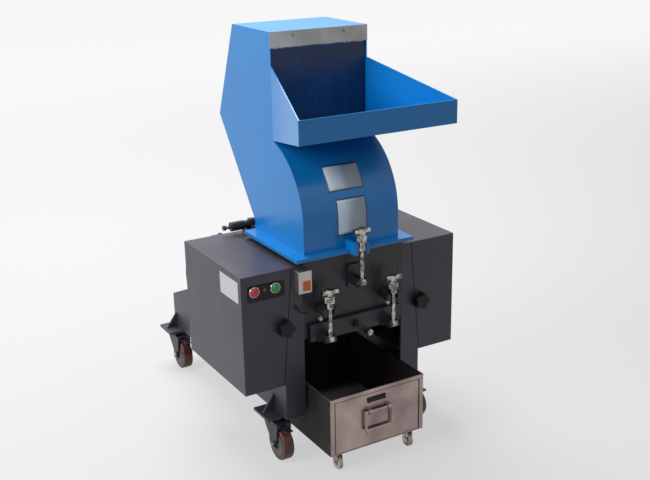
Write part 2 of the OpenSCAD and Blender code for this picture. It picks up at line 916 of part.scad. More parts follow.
// Lobed hand knob with its stud and the nut that grips behind the tab
module star_knob(x, z) {
  lobes = 5;
  lobe_r = knob_d * 0.16;
  hub_r = knob_d * 0.38;
  washer_r = 9;
  washer_t = 3;
  nut_r = 9;
  nut_t = 5;
  stud_end = base_sheet * 2 + nut_t + over;
  bar_y(-washer_t - knob_t, -washer_t, hub_r, x, z);
  for (k = [0 : lobes - 1])
    bar_y(
      -washer_t - knob_t,
      -washer_t,
      lobe_r,
      x + (knob_d / 2 - lobe_r) * cos(k * 360 / lobes),
      z + (knob_d / 2 - lobe_r) * sin(k * 360 / lobes)
    );
  bar_y(-washer_t, -gap, washer_r, x, z);
  bar_y(-washer_t - over, stud_end, stud_r, x, z);
  bar_y(stud_end - nut_t, stud_end, nut_r, x, z);
}

module guard_knob_left() {
  placed() color(black) star_knob(-knob_x, knob_left_z);
}

module guard_knob_right() {
  placed() color(black) star_knob(knob_x, knob_right_z);
}

// Hopper

hopper_half = hopper_w / 2;
hopper_front_y = 4;
bend_y = hopper_front_y + front_bend_r;
mouth_z = front_bend_z + sqrt(pow(front_bend_r, 2) - pow(bend_y - mouth_y, 2));
hopper_rear_y = 298;
rear_low_z = 643;

// Side outline of the hopper, drawn in by t where it is sheet and run out where it is open
module hopper_outline(t) {
  out = t > 0 ? over : 0;
  lean = t * 1.25;
  polygon([
    [hopper_front_y + t, flange_z - out],
    [hopper_front_y + t, front_bend_z],
    [bend_y, front_bend_z],
    [hopper_rear_y - t, rear_low_z],
    [hopper_rear_y - t, flange_z - out]
  ]);
  intersection() {
    translate([bend_y, front_bend_z]) circle(r = front_bend_r - t);
    translate([hopper_front_y, front_bend_z - over])
      square([front_bend_r, mouth_z - front_bend_z + over]);
  }
  polygon([
    each (t > 0 ? [[mouth_y, mouth_z + gap], [mouth_y - out, mouth_z + gap]] : [[mouth_y, mouth_z]]),
    [mouth_y - out, hopper_top_z - t],
    [roof_rear_y - lean, hopper_top_z - t],
    [bulge_y - lean, bulge_z],
    [hopper_rear_y - t, rear_low_z],
    [bend_y, front_bend_z]
  ]);
}

// Hopper shell with its base flange, hinge sleeve and the two ears of its clamp
module hopper_body() {
  sleeve_half = chamber_half - hinge_lug_t - gap;
  sleeve_t = 6;
  ear = 11;
  ear_h = 34;
  ear_nose = 5;
  ear_front = clamp_y + ear_nose;
  placed() color(blue) difference() {
    union() {
      plate_x(-hopper_half, hopper_half) hopper_outline(0);
      span([-flange_half_w, -flange_front_y, flange_z], [flange_half_w, chamber_d, flange_z + flange_t]);
      bar_x(-sleeve_half, sleeve_half, hinge_r + sleeve_t, hinge_y, hinge_z);
      span([-sleeve_half, chamber_d - over, flange_z], [sleeve_half, hinge_y, flange_z + flange_t]);
      for (side = [-1, 1])
        span(
          [side * (clamp_slot_half + ear / 2) - ear / 2, -ear_front, flange_z],
          [side * (clamp_slot_half + ear / 2) + ear / 2, hopper_front_y + over, flange_z + ear_h]
        );
    }
    plate_x(-hopper_half + hopper_sheet, hopper_half - hopper_sheet) hopper_outline(hopper_sheet);
    bar_x(-hopper_half, hopper_half, hinge_r + fit, hinge_y, hinge_z);
  }
}

// Sloping tray with flared sides and an upright lip
module feed_tray() {
  root_z = mouth_z + hopper_sheet + gap * 2;
  depth = mouth_y + tray_y;
  flare = tray_half_w - hopper_half;
  turn = atan2(flare, depth);
  side_l = sqrt(depth * depth + flare * flare);
  drop = atan2(lip_bottom_z - root_z, depth);
  floor_l = sqrt(pow(depth, 2) + pow(lip_bottom_z - root_z, 2));
  placed() color(blue) difference() {
    union() {
      for (side = [0, 1]) mirror([side, 0, 0])
        translate([-hopper_half, mouth_y, 0]) rotate([0, 0, -turn]) rotate([90, 0, -90])
          translate([0, 0, -hopper_sheet]) linear_extrude(hopper_sheet) polygon([
            [-hopper_sheet, root_z - hopper_sheet],
            [-hopper_sheet, tray_side_z],
            [side_l, lip_top_z],
            [side_l, lip_bottom_z - hopper_sheet]
          ]);
      translate([0, mouth_y, root_z]) rotate([-drop, 0, 0])
        translate([0, 0, -hopper_sheet]) linear_extrude(hopper_sheet) polygon([
          [-hopper_half, hopper_sheet],
          [-tray_half_w, -floor_l],
          [tray_half_w, -floor_l],
          [hopper_half, hopper_sheet]
        ]);
      span(
        [-tray_half_w, -tray_y, lip_bottom_z - hopper_sheet],
        [tray_half_w, -tray_y + hopper_sheet, lip_top_z]
      );
    }
    span([-tray_half_w, mouth_y, 0], [tray_half_w, bulge_y, hopper_top_z]);
    span([-machine_w, -tray_y - depth, 0], [machine_w, -tray_y, hopper_top_z]);
  }
}

// Bright strip over the mouth, with the return that the curtain hangs under
strip_t = 2;
strip_return = 12;
curtain_pin_r = 2;
curtain_y = mouth_y + strip_return / 2;
curtain_z = hopper_top_z - strip_h - gap - curtain_pin_r;

module hood_strip() {
  bolt_x = 80;
  bolt_z = hopper_top_z - strip_h * 0.25;
  bolt_r = 5;
  low = hopper_top_z - strip_h;
  inner = hopper_half - hopper_sheet - gap;
  placed() color(stainless) {
    span([-hopper_half, mouth_y - strip_t, low], [hopper_half, mouth_y, hopper_top_z]);
    span([-inner, mouth_y - over, low], [inner, mouth_y + strip_return, low + strip_t]);
    for (side = [-1, 1]) translate([side * bolt_x, mouth_y - strip_t, bolt_z]) rotate([90, 0, 0])
      intersection() {
        hex_head(bolt_r, bolt_r * 0.8);
        cylinder(h = bolt_r * 3, r = bolt_r * 1.2);
      }
  }
}

// Flexible curtain inside the mouth
module feed_curtain() {
  sheet_t = 3;
  side_clear = 3;
  half = hopper_half - hopper_sheet - side_clear;
  hem = 12;
  placed() color([0.05, 0.08, 0.16]) {
    bar_x(-half, half, curtain_pin_r, curtain_y, curtain_z);
    span([-half, curtain_y - sheet_t / 2, mouth_z + hem], [half, curtain_y + sheet_t / 2, curtain_z]);
  }
}

// Pin through the lugs and the sleeve, with collars, a thick boss and a thin tail at its left end
module hopper_hinge_pin() {
  collar_r = hinge_rise - gap / 2;
  collar_t = 14;
  boss_end = 213;
  boss_r = 14;
  boss_x0 = side_outer + collar_t / 2;
  tail_end = 237;
  tail_r = 5;
  nut_r = 8;
  nut_t = 8;
  placed() color(black) {
    bar_x(-boss_end + over, side_outer + collar_t, hinge_r, hinge_y, hinge_z);
    bar_x(-chamber_half - gap - collar_t, -chamber_half - gap, collar_r, hinge_y, hinge_z);
    bar_x(chamber_half + gap, chamber_half + gap + collar_t, collar_r, hinge_y, hinge_z);
    bar_x(-boss_end, -boss_x0, boss_r, hinge_y, hinge_z);
    bar_x(-tail_end, -boss_end + over, tail_r, hinge_y, hinge_z);
    bar_x(-tail_end, -tail_end + nut_t, nut_r, hinge_y, hinge_z);
  }
}

// Clamps

// Eye, rod and pin of a clamp bolt
module eye_bolt(x, pivot_z, top_z) {
  eye_half = clevis_slot - gap;
  pin_half = clevis_slot + clevis_ear + eye_pin_r / 2;
  bar_x(x - eye_half, x + eye_half, eye_r, -clamp_y, pivot_z);
  bar_x(x - pin_half, x + pin_half, eye_pin_r, -clamp_y, pivot_z);
  bar_z(pivot_z, top_z, clamp_rod_r, x, -clamp_y);
}

// Long boss and cross bar of a clamp nut
module clamp_nut(x, boss_z, bar_z0) {
  neck_r = clamp_boss_r * 0.72;
  flange_h = 8;
  difference() {
    union() {
      bar_z(boss_z, boss_z + flange_h, clamp_boss_r, x, -clamp_y);
      bar_z(boss_z, bar_z0, neck_r + clamp_rod_r / 3, x, -clamp_y);
      bar_x(x - clamp_bar_l / 2, x + clamp_bar_l / 2, clamp_bar_r, -clamp_y, bar_z0);
      bar_z(bar_z0 - clamp_bar_r, bar_z0 + clamp_bar_r, clamp_boss_r, x, -clamp_y);
    }
    bar_z(boss_z - over, bar_z0, clamp_rod_r + fit, x, -clamp_y);
  }
}

module hopper_eye_bolt() {
  placed() color(zinc) eye_bolt(0, upper_pivot_z, upper_bar_z - over);
}

module hopper_clamp_nut() {
  placed() color(zinc) clamp_nut(0, upper_boss_z, upper_bar_z);
}

module left_eye_bolt() {
  placed() color(zinc) eye_bolt(-clamp_x, lower_pivot_z, lower_bar_z - over);
}

module left_clamp_nut() {
  placed() color(zinc) clamp_nut(-clamp_x, lower_boss_z, lower_bar_z);
}

module right_eye_bolt() {
  placed() color(zinc) eye_bolt(clamp_x, lower_pivot_z, lower_bar_z - over);
}

module right_clamp_nut() {
  placed() color(zinc) clamp_nut(clamp_x, lower_boss_z, lower_bar_z);
}

// Screen cradle

screen_gap = 6;
screen_r = rotor_r + screen_gap;
cradle_t = 12;
cradle_gap = 2;
cradle_half = chamber_half - cradle_gap;
rail_z0 = 365;
rail_front = 14;
rail_back = 16;
screen_from_deg = 200;
screen_to_deg = 340;
handle_r = 7;
handle_boss_r = 12;

// Ring sector round the rotor's axis, from one angle to another
module arc_band(r0, r1, from, to) {
  far = r1 * 2;
  translate([rotor_y, rotor_z]) difference() {
    intersection() {
      circle(r = r1, $fn = 96);
      polygon([
        [0, 0],
        [far * cos(from), far * sin(from)],
        [far * cos((from + to) / 2), far * sin((from + to) / 2)],
        [far * cos(to), far * sin(to)]
      ]);
    }
    circle(r = r0, $fn = 96);
  }
}

// Two ribs, a front rail with the clamp ears, a handle boss and a rear hub with its pin
module screen_cradle() {
  rib_in = screen_r + screen_t + gap / 2;
  hub_r = 14;
  rib_n = 4;
  rail_top = front_wall_z - gap;
  pin_out = side_outer + cradle_t / 3;
  placed() color(black) difference() {
    union() {
      for (k = [0 : rib_n - 1]) {
        x0 = -cradle_half + k * (2 * cradle_half - cradle_t) / (rib_n - 1);
        plate_x(x0, x0 + cradle_t) arc_band(rib_in, rib_in + cradle_t, screen_from_deg, screen_to_deg);
        plate_x(x0, x0 + cradle_t) polygon([
          [rail_back - over, rail_z0],
          [rotor_y * 0.55, rail_z0],
          [rotor_y * 0.42, rail_top - cradle_t],
          [rail_back - over, rail_top]
        ]);
      }
      span([-cradle_half, -rail_front, rail_z0], [cradle_half, rail_back, rail_top]);
      bar_x(-cradle_half, cradle_half, hub_r, cradle_pin_y, cradle_pin_z);
      bar_x(-pin_out, pin_out, cradle_pin_r, cradle_pin_y, cradle_pin_z);
      clevis(-clamp_x, -rail_front, lower_pivot_z, rail_z0, rail_z0 + 2 * eye_r);
      clevis(clamp_x, -rail_front, lower_pivot_z, rail_z0, rail_z0 + 2 * eye_r);
      bar_y(
        -rail_front - handle_boss_r,
        -rail_front + over,
        handle_boss_r,
        0,
        lower_pivot_z + handle_boss_r
      );
    }
    plate_x(-cradle_half - over, cradle_half + over) translate([rotor_y, rotor_z])
      circle(r = rib_in, $fn = 96);
    bar_y(-rail_front - handle_boss_r - over, 0, handle_r, 0, lower_pivot_z + handle_boss_r);
  }
}

// Perforated sheet bent round under the rotor
module screen() {
  half = cradle_half - over;
  edge_deg = 12;
  pitch = screen_hole_d * 3.2;
  rows = floor(half * 2 / pitch);
  step = 360 * pitch / (2 * PI * screen_r);
  cols = floor((screen_to_deg - screen_from_deg - edge_deg) / step);
  placed() color(steel) difference() {
    plate_x(-half, half) arc_band(screen_r, screen_r + screen_t, screen_from_deg, screen_to_deg);
    for (i = [0 : rows - 1], j = [0 : cols - 1])
      translate([(i - (rows - 1) / 2) * pitch, rotor_y, rotor_z])
        rotate([180 + (j - (cols - 1) / 2) * step, 0, 0])
          translate([0, 0, screen_r - over * 3])
            cylinder(h = screen_t + over * 6, d = screen_hole_d, $fn = 16);
  }
}

module cradle_handle() {
  handle_end = 88;
  grip_r = 9;
  grip_l = 22;
  z = lower_pivot_z + handle_boss_r;
  placed() color(zinc) {
    bar_y(-handle_end, 0, handle_r, 0, z);
    bar_y(-handle_end, -handle_end + grip_l, grip_r, 0, z);
  }
}

// Rotor

module rotor_shaft() {
  placed() color(steel)
    bar_x(-pulley_x - pulley_w - shaft_end, pulley_x + flywheel_t + shaft_end, shaft_d / 2, rotor_y, rotor_z);
}

knife_n = 3;
knife_w = 52;
knife_t = 12;
hub_gap = 4;
hub_half = chamber_half - hub_gap;

// Distance of the fly knives' seats from the rotor's axis
knife_seat = 62;

// Three-sided rotor with rounded corners, one flat under each knife
module rotor_hub() {
  corner_r = rotor_r * 0.9;
  placed() color(cast_grey) difference() {
    plate_x(-hub_half, hub_half) translate([rotor_y, rotor_z]) intersection() {
      circle(r = corner_r);
      polygon([for (k = [0 : knife_n - 1]) let (a = k * 360 / knife_n - 90) knife_seat * 2 * [cos(a), sin(a)]]);
    }
    bar_x(-hub_half - over, hub_half + over, shaft_d / 2, rotor_y, rotor_z);
  }
}

// Fly knives, each lying on its arm with the edge on the rotor's circle
module rotor_knives() {
  tip = sqrt(pow(rotor_r, 2) - pow(knife_seat + knife_t, 2));
  placed() color(steel) plate_x(-hub_half, hub_half) translate([rotor_y, rotor_z])
    for (k = [0 : knife_n - 1]) rotate(k * 360 / knife_n) polygon([
      [tip - knife_w, knife_seat],
      [tip - knife_t, knife_seat],
      [tip, knife_seat + knife_t],
      [tip - knife_w, knife_seat + knife_t]
    ]);
}

module drive_pulley() {
  placed() color(cast_grey) difference() {
    grooved_pulley(pulley_d / 2, rotor_y, rotor_z);
    bar_x(-guard_half, 0, shaft_d / 2, rotor_y, rotor_z);
  }
}

module flywheel() {
  holes = 6;
  hole_r = 13;
  hole_at = pulley_d * 0.33;
  web_in = 10;
  placed() color(cast_grey) difference() {
    bar_x(pulley_x, pulley_x + flywheel_t, pulley_d / 2, rotor_y, rotor_z);
    bar_x(0, guard_half, shaft_d / 2, rotor_y, rotor_z);
    for (x = [pulley_x - over, pulley_x + flywheel_t - web_in]) difference() {
      bar_x(x, x + web_in + over, pulley_d * 0.42, rotor_y, rotor_z);
      bar_x(x - over, x + web_in + over * 2, pulley_d * 0.22, rotor_y, rotor_z);
    }
    for (k = [0 : holes - 1])
      bar_x(
        0, guard_half, hole_r,
        rotor_y + hole_at * cos(k * 360 / holes),
        rotor_z + hole_at * sin(k * 360 / holes)
      );
  }
}

// Motor pulley on the end of the motor's shaft
module motor_pulley() {
  shaft_in = 20;
  placed() color(cast_grey) {
    grooved_pulley(motor_pulley_d / 2, motor_y, motor_z);
    bar_x(-pulley_x - over, motor_left_x + shaft_in, motor_shaft_r, motor_y, motor_z);
  }
}

// Bin

bin_half = bin_w / 2;
bin_end_y = bin_len - bin_out;
bin_axle_z = bin_wheel_r;
bin_wheel_front_y = bin_front_wheel - bin_out;
bin_wheel_rear_y = bin_end_y - bin_rear_wheel;
bail_z = 168;
bail_half = 44;
bail_r = 4;
bail_gap = 9;
bail_y = bin_out + bail_gap;
BIN_WHEELS = [
  [-bin_wheel_x, bin_wheel_front_y],
  [bin_wheel_x, bin_wheel_front_y],
  [-bin_wheel_x, bin_wheel_rear_y],
  [bin_wheel_x, bin_wheel_rear_y]
];

// Open box with a folded rim, and the ears of its drop handle
module bin() {
  rim = 10;
  plate_w = 72;
  plate_low = 90;
  ear_w = 8;
  placed() color(stainless) difference() {
    union() {
      difference() {
        span([-bin_half, -bin_out, bin_bottom_z], [bin_half, bin_end_y, bin_top_z]);
        span(
          [-bin_half + bin_sheet, -bin_out + bin_sheet, bin_bottom_z + bin_sheet],
          [bin_half - bin_sheet, bin_end_y - bin_sheet, bin_top_z + over]
        );
      }
      span(
        [-plate_w / 2, -bin_out - bin_sheet, plate_low],
        [plate_w / 2, -bin_out + over, bail_z + rim]
      );
      for (side = [-1, 1]) {
        x0 = side * (plate_w / 2 - ear_w / 2) - ear_w / 2;
        bar_x(x0, x0 + ear_w, bail_r * 2, -bail_y, bail_z);
        span([x0, -bail_y, bail_z - bail_r * 2], [x0 + ear_w, -bin_out, bail_z + bail_r * 2]);
      }
    }
    bar_x(-bin_half, bin_half, bail_r + fit, -bail_y, bail_z);
  }
}

// Drop handle: a bar through the ears, two arms and a grip
module bin_handle() {
  low_z = 111;
  placed() color(zinc) {
    bar_x(-bail_half, bail_half, bail_r, -bail_y, bail_z);
    for (side = [-1, 1]) bar_z(low_z, bail_z, bail_r, side * bail_half, -bail_y);
    bar_x(-bail_half, bail_half, bail_r, -bail_y, low_z);
    for (side = [-1, 1], z = [low_z, bail_z]) translate([side * bail_half, -bail_y, z]) sphere(r = bail_r);
  }
}

bin_axle_r = 3;

module bin_caster_brackets() {
  cheek_t = 2;
  top_t = 3;
  length = 22;
  half = bin_wheel_t / 2 + gap + cheek_t;
  placed() color(zinc) for (w = BIN_WHEELS) {
    span(
      [w[0] - half - length / 2, w[1] - length / 2 - top_t, bin_bottom_z - top_t],
      [w[0] + half + length / 2, w[1] + length / 2 + top_t, bin_bottom_z]
    );
    for (side = [-1, 1]) {
      x0 = w[0] + side * (half - cheek_t / 2) - cheek_t / 2;
      span([x0, w[1] - length / 2, bin_axle_z - bin_axle_r * 2], [x0 + cheek_t, w[1] + length / 2, bin_bottom_z - over]);
    }
    bar_x(w[0] - half, w[0] + half, bin_axle_r, w[1], bin_axle_z);
  }
}

// Grooveless wheel with its bore, along X
module wheel(x, y, z, r, w, bore) {
  difference() {
    bar_x(x - w / 2, x + w / 2, r, y, z);
    bar_x(x - w, x + w, bore + fit, y, z);
  }
}

module bin_wheel(i) {
  w = BIN_WHEELS[i];
  placed() color(cream) wheel(w[0], w[1], bin_axle_z, bin_wheel_r, bin_wheel_t, bin_axle_r);
}

module bin_wheel_fl() {
  bin_wheel(0);
}

module bin_wheel_fr() {
  bin_wheel(1);
}

module bin_wheel_rl() {
  bin_wheel(2);
}

module bin_wheel_rr() {
  bin_wheel(3);
}

// Casters

caster_axle_r = 6;

// Fork with its swivel head, kingpin, axle and brake pedal, trailing toward -Y
module caster_fork(i) {
  c = CASTERS[i];
  head_r = 32;
  head_h = 12;
  leg_t = 4;
  leg_w = 36;
  wheel_gap = 3;
  inner = caster_wheel_w / 2 + wheel_gap;
  bridge_z = caster_wheel_d + leg_t;
  pedal_l = 34;
  pedal_t = 4;
  placed() color(black) translate([c[0], c[1], 0]) rotate([0, 0, c[2]]) {
    bar_z(fork_top_z - head_h, fork_top_z, head_r, 0, 0);
    bar_z(fork_top_z - over, base_bottom_z - over * 2, kingpin_r, 0, 0);
    span([-inner - leg_t, -caster_trail - leg_w / 2, bridge_z], [inner + leg_t, head_r * 0.8, fork_top_z - head_h + over]);
    for (side = [0, 1]) mirror([side, 0, 0]) {
      plate_x(inner, inner + leg_t) polygon([
        [-caster_trail - leg_w / 2, bridge_z + over],
        [-caster_trail - leg_w / 4, caster_r - leg_w / 3],
        [-caster_trail + leg_w / 4, caster_r - leg_w / 3],
        [head_r * 0.8, bridge_z + over]
      ]);
      bar_x(inner - wheel_gap * 0.7, inner + leg_t * 2, leg_w * 0.28, -caster_trail, caster_r);
    }
    bar_x(-inner - leg_t * 2, inner + leg_t * 2, caster_axle_r, -caster_trail, caster_r);
    span(
      [-caster_wheel_w / 3, -caster_trail - leg_w / 2 - pedal_l, bridge_z],
      [caster_wheel_w / 3, -caster_trail - leg_w / 2 + over, bridge_z + pedal_t]
    );
  }
}

module caster_wheel(i) {
  c = CASTERS[i];
  placed() color(pu_brown) translate([c[0], c[1], 0]) rotate([0, 0, c[2]])
    wheel(0, -caster_trail, caster_r, caster_r, caster_wheel_w, caster_axle_r);
}

module caster_fork_fl() {
  caster_fork(0);
}

module caster_fork_fr() {
  caster_fork(1);
}

module caster_fork_rl() {
  caster_fork(2);
}

module caster_fork_rr() {
  caster_fork(3);
}

module caster_wheel_fl() {
  caster_wheel(0);
}

module caster_wheel_fr() {
  caster_wheel(1);
}

module caster_wheel_rl() {
  caster_wheel(2);
}

module caster_wheel_rr() {
  caster_wheel(3);
}

frame_left();
frame_right();
motor_tray();
caster_brackets();
chamber_side_left();
chamber_side_right();
chamber_front_wall();
chamber_rear_wall();
bed_knives();
chamber_bolts();
bearing_housings();
clamp_brackets();
motor_body();
belt_cover();
drive_belts();
switch_body();
switch_cable();
guard_left();
control_panel();
guard_right();
guard_knob_left();
guard_knob_right();
stop_button();
start_button();
hopper_body();
feed_tray();
hood_strip();
feed_curtain();
hopper_hinge_pin();
hopper_eye_bolt();
hopper_clamp_nut();
screen_cradle();
screen();
cradle_handle();
left_eye_bolt();
left_clamp_nut();
right_eye_bolt();
right_clamp_nut();
rotor_shaft();
rotor_hub();
rotor_knives();
drive_pulley();
flywheel();
motor_pulley();
switch_plunger();
bin();
bin_handle();
bin_caster_brackets();
bin_wheel_fl();
bin_wheel_fr();
bin_wheel_rl();
bin_wheel_rr();
caster_fork_fl();
caster_fork_fr();
caster_fork_rl();
caster_fork_rr();
caster_wheel_fl();
caster_wheel_fr();
caster_wheel_rl();
caster_wheel_rr();
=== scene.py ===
import json
import math

import bmesh
import bpy
from mathutils import Matrix, Vector


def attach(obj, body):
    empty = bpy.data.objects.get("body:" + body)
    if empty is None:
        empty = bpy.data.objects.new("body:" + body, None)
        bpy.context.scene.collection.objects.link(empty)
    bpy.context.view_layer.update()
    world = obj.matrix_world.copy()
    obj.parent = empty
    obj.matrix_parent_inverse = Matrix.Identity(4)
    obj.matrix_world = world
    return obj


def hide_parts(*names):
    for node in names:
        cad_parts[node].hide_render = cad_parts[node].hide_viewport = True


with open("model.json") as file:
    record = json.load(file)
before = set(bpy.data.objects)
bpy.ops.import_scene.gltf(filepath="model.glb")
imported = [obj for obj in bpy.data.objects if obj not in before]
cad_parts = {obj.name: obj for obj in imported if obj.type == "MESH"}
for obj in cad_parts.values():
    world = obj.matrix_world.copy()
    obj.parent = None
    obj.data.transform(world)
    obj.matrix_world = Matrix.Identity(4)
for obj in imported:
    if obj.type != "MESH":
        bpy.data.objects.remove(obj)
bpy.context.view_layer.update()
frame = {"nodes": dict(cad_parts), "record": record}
nodes = frame["nodes"]

# Camera, floor and soft boxes: a plain pale studio seen from the left front, from above the
# hopper. The camera's place, turn and lens were worked out from the edges of the object in the
# photograph, with the lens in its pixels. The floor fills the picture and grows paler with distance.
camera = bpy.data.objects.new("studio_camera", bpy.data.cameras.new("studio_camera"))
bpy.context.scene.collection.objects.link(camera)
heading, dip, roll = math.radians(31.66), math.radians(19.03), math.radians(-0.594)
picture_width, focal_length, sensor_width = 650, 1013.37, 36.0
camera.matrix_world = (
    Matrix.Translation((-1.4037, -2.6242, 1.5345))
    @ Matrix.Rotation(-heading, 4, "Z")
    @ Matrix.Rotation(math.pi / 2 - dip, 4, "X")
    @ Matrix.Rotation(roll, 4, "Z")
)
camera.data.sensor_width = sensor_width
camera.data.lens = focal_length / picture_width * sensor_width
camera.data.shift_x = -27.72 / picture_width
camera.data.shift_y = 7.49 / picture_width
camera.data.clip_end = 60.0
bpy.context.scene.camera = camera
bpy.context.scene.view_settings.view_transform = "Standard"


# An sRGB hex value as the linear colour that a node takes.
def colour(code):
    parts = [int(code[i:i + 2], 16) / 255 for i in (1, 3, 5)]
    return [c / 12.92 if c <= 0.04045 else ((c + 0.055) / 1.055) ** 2.4 for c in parts] + [1.0]


# A node with its settings, and each socket given a value or linked to another node's output.
def add(tree, kind, sockets=None, **settings):
    node = tree.nodes.new(kind)
    for key, value in settings.items():
        setattr(node, key, value)
    for key, value in (sockets or {}).items():
        if isinstance(value, bpy.types.NodeSocket):
            tree.links.new(value, node.inputs[key])
        else:
            node.inputs[key].default_value = value
    return node


# A noise's scale from the width of one of its grains, on coordinates in metres.
def grain_of(width_mm):
    return 1000 / width_mm


def new_material(name):
    material = bpy.data.materials.new(name)
    material.use_nodes = True
    material.node_tree.nodes.clear()
    return material, material.node_tree


studio_floor, tree = new_material("studio_floor_paint")
place = add(tree, "ShaderNodeTexCoord")
along = add(tree, "ShaderNodeSeparateXYZ", {"Vector": place.outputs["Object"]})
far = add(tree, "ShaderNodeMapRange", {"Value": along.outputs["Y"], "From Min": -2.0, "From Max": 7.0,
                                       "To Min": 0.52, "To Max": 0.89}, interpolation_type="SMOOTHSTEP")
seen = add(tree, "ShaderNodeLightPath")
direct = add(tree, "ShaderNodeMath", {0: seen.outputs["Is Camera Ray"], 1: seen.outputs["Is Glossy Ray"]},
             operation="MAXIMUM")
glow = add(tree, "ShaderNodeMath", {0: far.outputs[0], 1: direct.outputs[0]}, operation="MULTIPLY")
matt = add(tree, "ShaderNodeBsdfDiffuse", {"Color": colour("#6E6E70")})
lit = add(tree, "ShaderNodeEmission", {"Color": colour("#FFFFFF"), "Strength": glow.outputs[0]})
both = add(tree, "ShaderNodeAddShader", {0: matt.outputs[0], 1: lit.outputs[0]})
add(tree, "ShaderNodeOutputMaterial", {"Surface": both.outputs[0]})
floor_mesh = bpy.data.meshes.new("studio_floor")
half = 25
floor_mesh.from_pydata([(-half, -half, 0), (half, -half, 0), (half, half, 0), (-half, half, 0)], [],
                       [(0, 1, 2, 3)])
floor_mesh.materials.append(studio_floor)
studio = bpy.data.objects.new("studio_floor", floor_mesh)
bpy.context.scene.collection.objects.link(studio)

world = bpy.data.worlds.new("studio_room")
bpy.context.scene.world = world
world.use_nodes = True
tree = world.node_tree
tree.nodes.clear()
seen = add(tree, "ShaderNodeLightPath")
direct = add(tree, "ShaderNodeMath", {0: seen.outputs["Is Camera Ray"], 1: seen.outputs["Is Glossy Ray"]},
             operation="MAXIMUM")
level = add(tree, "ShaderNodeMapRange", {"Value": direct.outputs[0], "To Min": 0.27, "To Max": 0.72})
room = add(tree, "ShaderNodeBackground", {"Color": colour("#FFFFFF"), "Strength": level.outputs[0]})
add(tree, "ShaderNodeOutputWorld", {"Surface": room.outputs[0]})

for name, at, aim, size, watts in (
    ("soft_box_left", (-3.4, -0.4, 2.6), (0, 0, 0.6), 2.4, 118),
    ("soft_box_front", (0.6, -3.6, 3.4), (0, 0, 0.6), 2.2, 16),
    ("soft_box_top", (0.1, 1.3, 3.7), (0, 0, 0.7), 2.6, 210),
):
    lamp = bpy.data.lights.new(name, "AREA")
    lamp.shape = "DISK"
    lamp.size = size
    lamp.energy = watts
    holder = bpy.data.objects.new(name, lamp)
    holder.location = at
    holder.rotation_euler = (Vector(aim) - Vector(at)).to_track_quat("-Z", "Y").to_euler()
    bpy.context.scene.collection.objects.link(holder)


# A place given in millimetres as the part's source has it, with y from the base's front edge. The
# frame's origin stands 350 mm behind that edge.
origin_behind_front = 350


def spot(x, y, z):
    return Vector((x / 1000, (y - origin_behind_front) / 1000, z / 1000))


# Switch cable: thin black PVC lead that loops out of the limit switch's foot and back into
# the leg. PVC drawn round a core is smooth with a soft shine. Its drawing marks are too fine to
# show, so they are 1.1 mm wide here.
black_pvc, tree = new_material("black_pvc_sheath")
place = add(tree, "ShaderNodeTexCoord")
drawn = add(tree, "ShaderNodeTexNoise", {"Vector": place.outputs["Object"], "Scale": grain_of(1.1),
                                         "Detail": 2.0})
dents = add(tree, "ShaderNodeBump", {"Height": drawn.outputs[0], "Strength": 0.08, "Distance": 0.0002})
shine = add(tree, "ShaderNodeMapRange", {"Value": drawn.outputs[0], "To Min": 0.38, "To Max": 0.5})
skin = add(tree, "ShaderNodeBsdfPrincipled", {"Base Color": colour("#121214"), "Roughness": shine.outputs[0],
                                             "Normal": dents.outputs[0], "Specular IOR Level": 0.25})
add(tree, "ShaderNodeOutputMaterial", {"Surface": skin.outputs[0]})

cable_mm = [
    (-162, -12, 520), (-160, -13, 510), (-156, -15, 498), (-152, -16, 486), (-152, -17, 473),
    (-157, -17, 463), (-166, -16, 458), (-176, -14, 460), (-184, -11, 467), (-187, -7, 475),
    (-188, -3, 480), (-188, 0, 482),
]
cable_thickness = 0.005
cable_points = [spot(*route_mm) for route_mm in cable_mm]
cable_curve = bpy.data.curves.new("switch_lead", "CURVE")
cable_curve.dimensions = "3D"
cable_curve.bevel_depth = cable_thickness / 2
cable_curve.bevel_resolution = 4
spline = cable_curve.splines.new("POLY")
spline.points.add(len(cable_points) - 1)
for point, at in zip(spline.points, cable_points):
    point.co = (*at, 1.0)
cable_curve.materials.append(black_pvc)
switch_lead = bpy.data.objects.new("switch_lead", cable_curve)
bpy.context.scene.collection.objects.link(switch_lead)
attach(switch_lead, "machine")
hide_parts("switch_cable")

# Base, tray, guards and belt cover: folded 3 to 6 mm sheet steel, seam welded and powder coated
# in a dark charcoal. The baked powder has an orange peel, under 1 mm on the sheet and 2.4 mm here
# so that it shows, and a soft shine in clouds about 140 mm wide.
charcoal_powder_coat, tree = new_material("charcoal_powder_coat")
place = add(tree, "ShaderNodeTexCoord")
peel = add(tree, "ShaderNodeTexNoise", {"Vector": place.outputs["Object"], "Scale": grain_of(2.4),
                                        "Detail": 3.0})
cloud = add(tree, "ShaderNodeTexNoise", {"Vector": place.outputs["Object"], "Scale": grain_of(140),
                                         "Detail": 5.0, "Roughness": 0.6})
tint = add(tree, "ShaderNodeValToRGB", {"Fac": cloud.outputs[0]})
tint.color_ramp.elements[0].position, tint.color_ramp.elements[0].color = 0.35, colour("#322F3A")
tint.color_ramp.elements[1].position, tint.color_ramp.elements[1].color = 0.7, colour("#3C3945")
dents = add(tree, "ShaderNodeBump", {"Height": peel.outputs[0], "Strength": 0.16, "Distance": 0.0004})
shine = add(tree, "ShaderNodeMapRange", {"Value": cloud.outputs[0], "From Min": 0.3, "From Max": 0.7,
                                         "To Min": 0.34, "To Max": 0.46})
skin = add(tree, "ShaderNodeBsdfPrincipled", {"Base Color": tint.outputs[0], "Roughness": shine.outputs[0],
                                             "Normal": dents.outputs[0], "Specular IOR Level": 0.5})
add(tree, "ShaderNodeOutputMaterial", {"Surface": skin.outputs[0]})


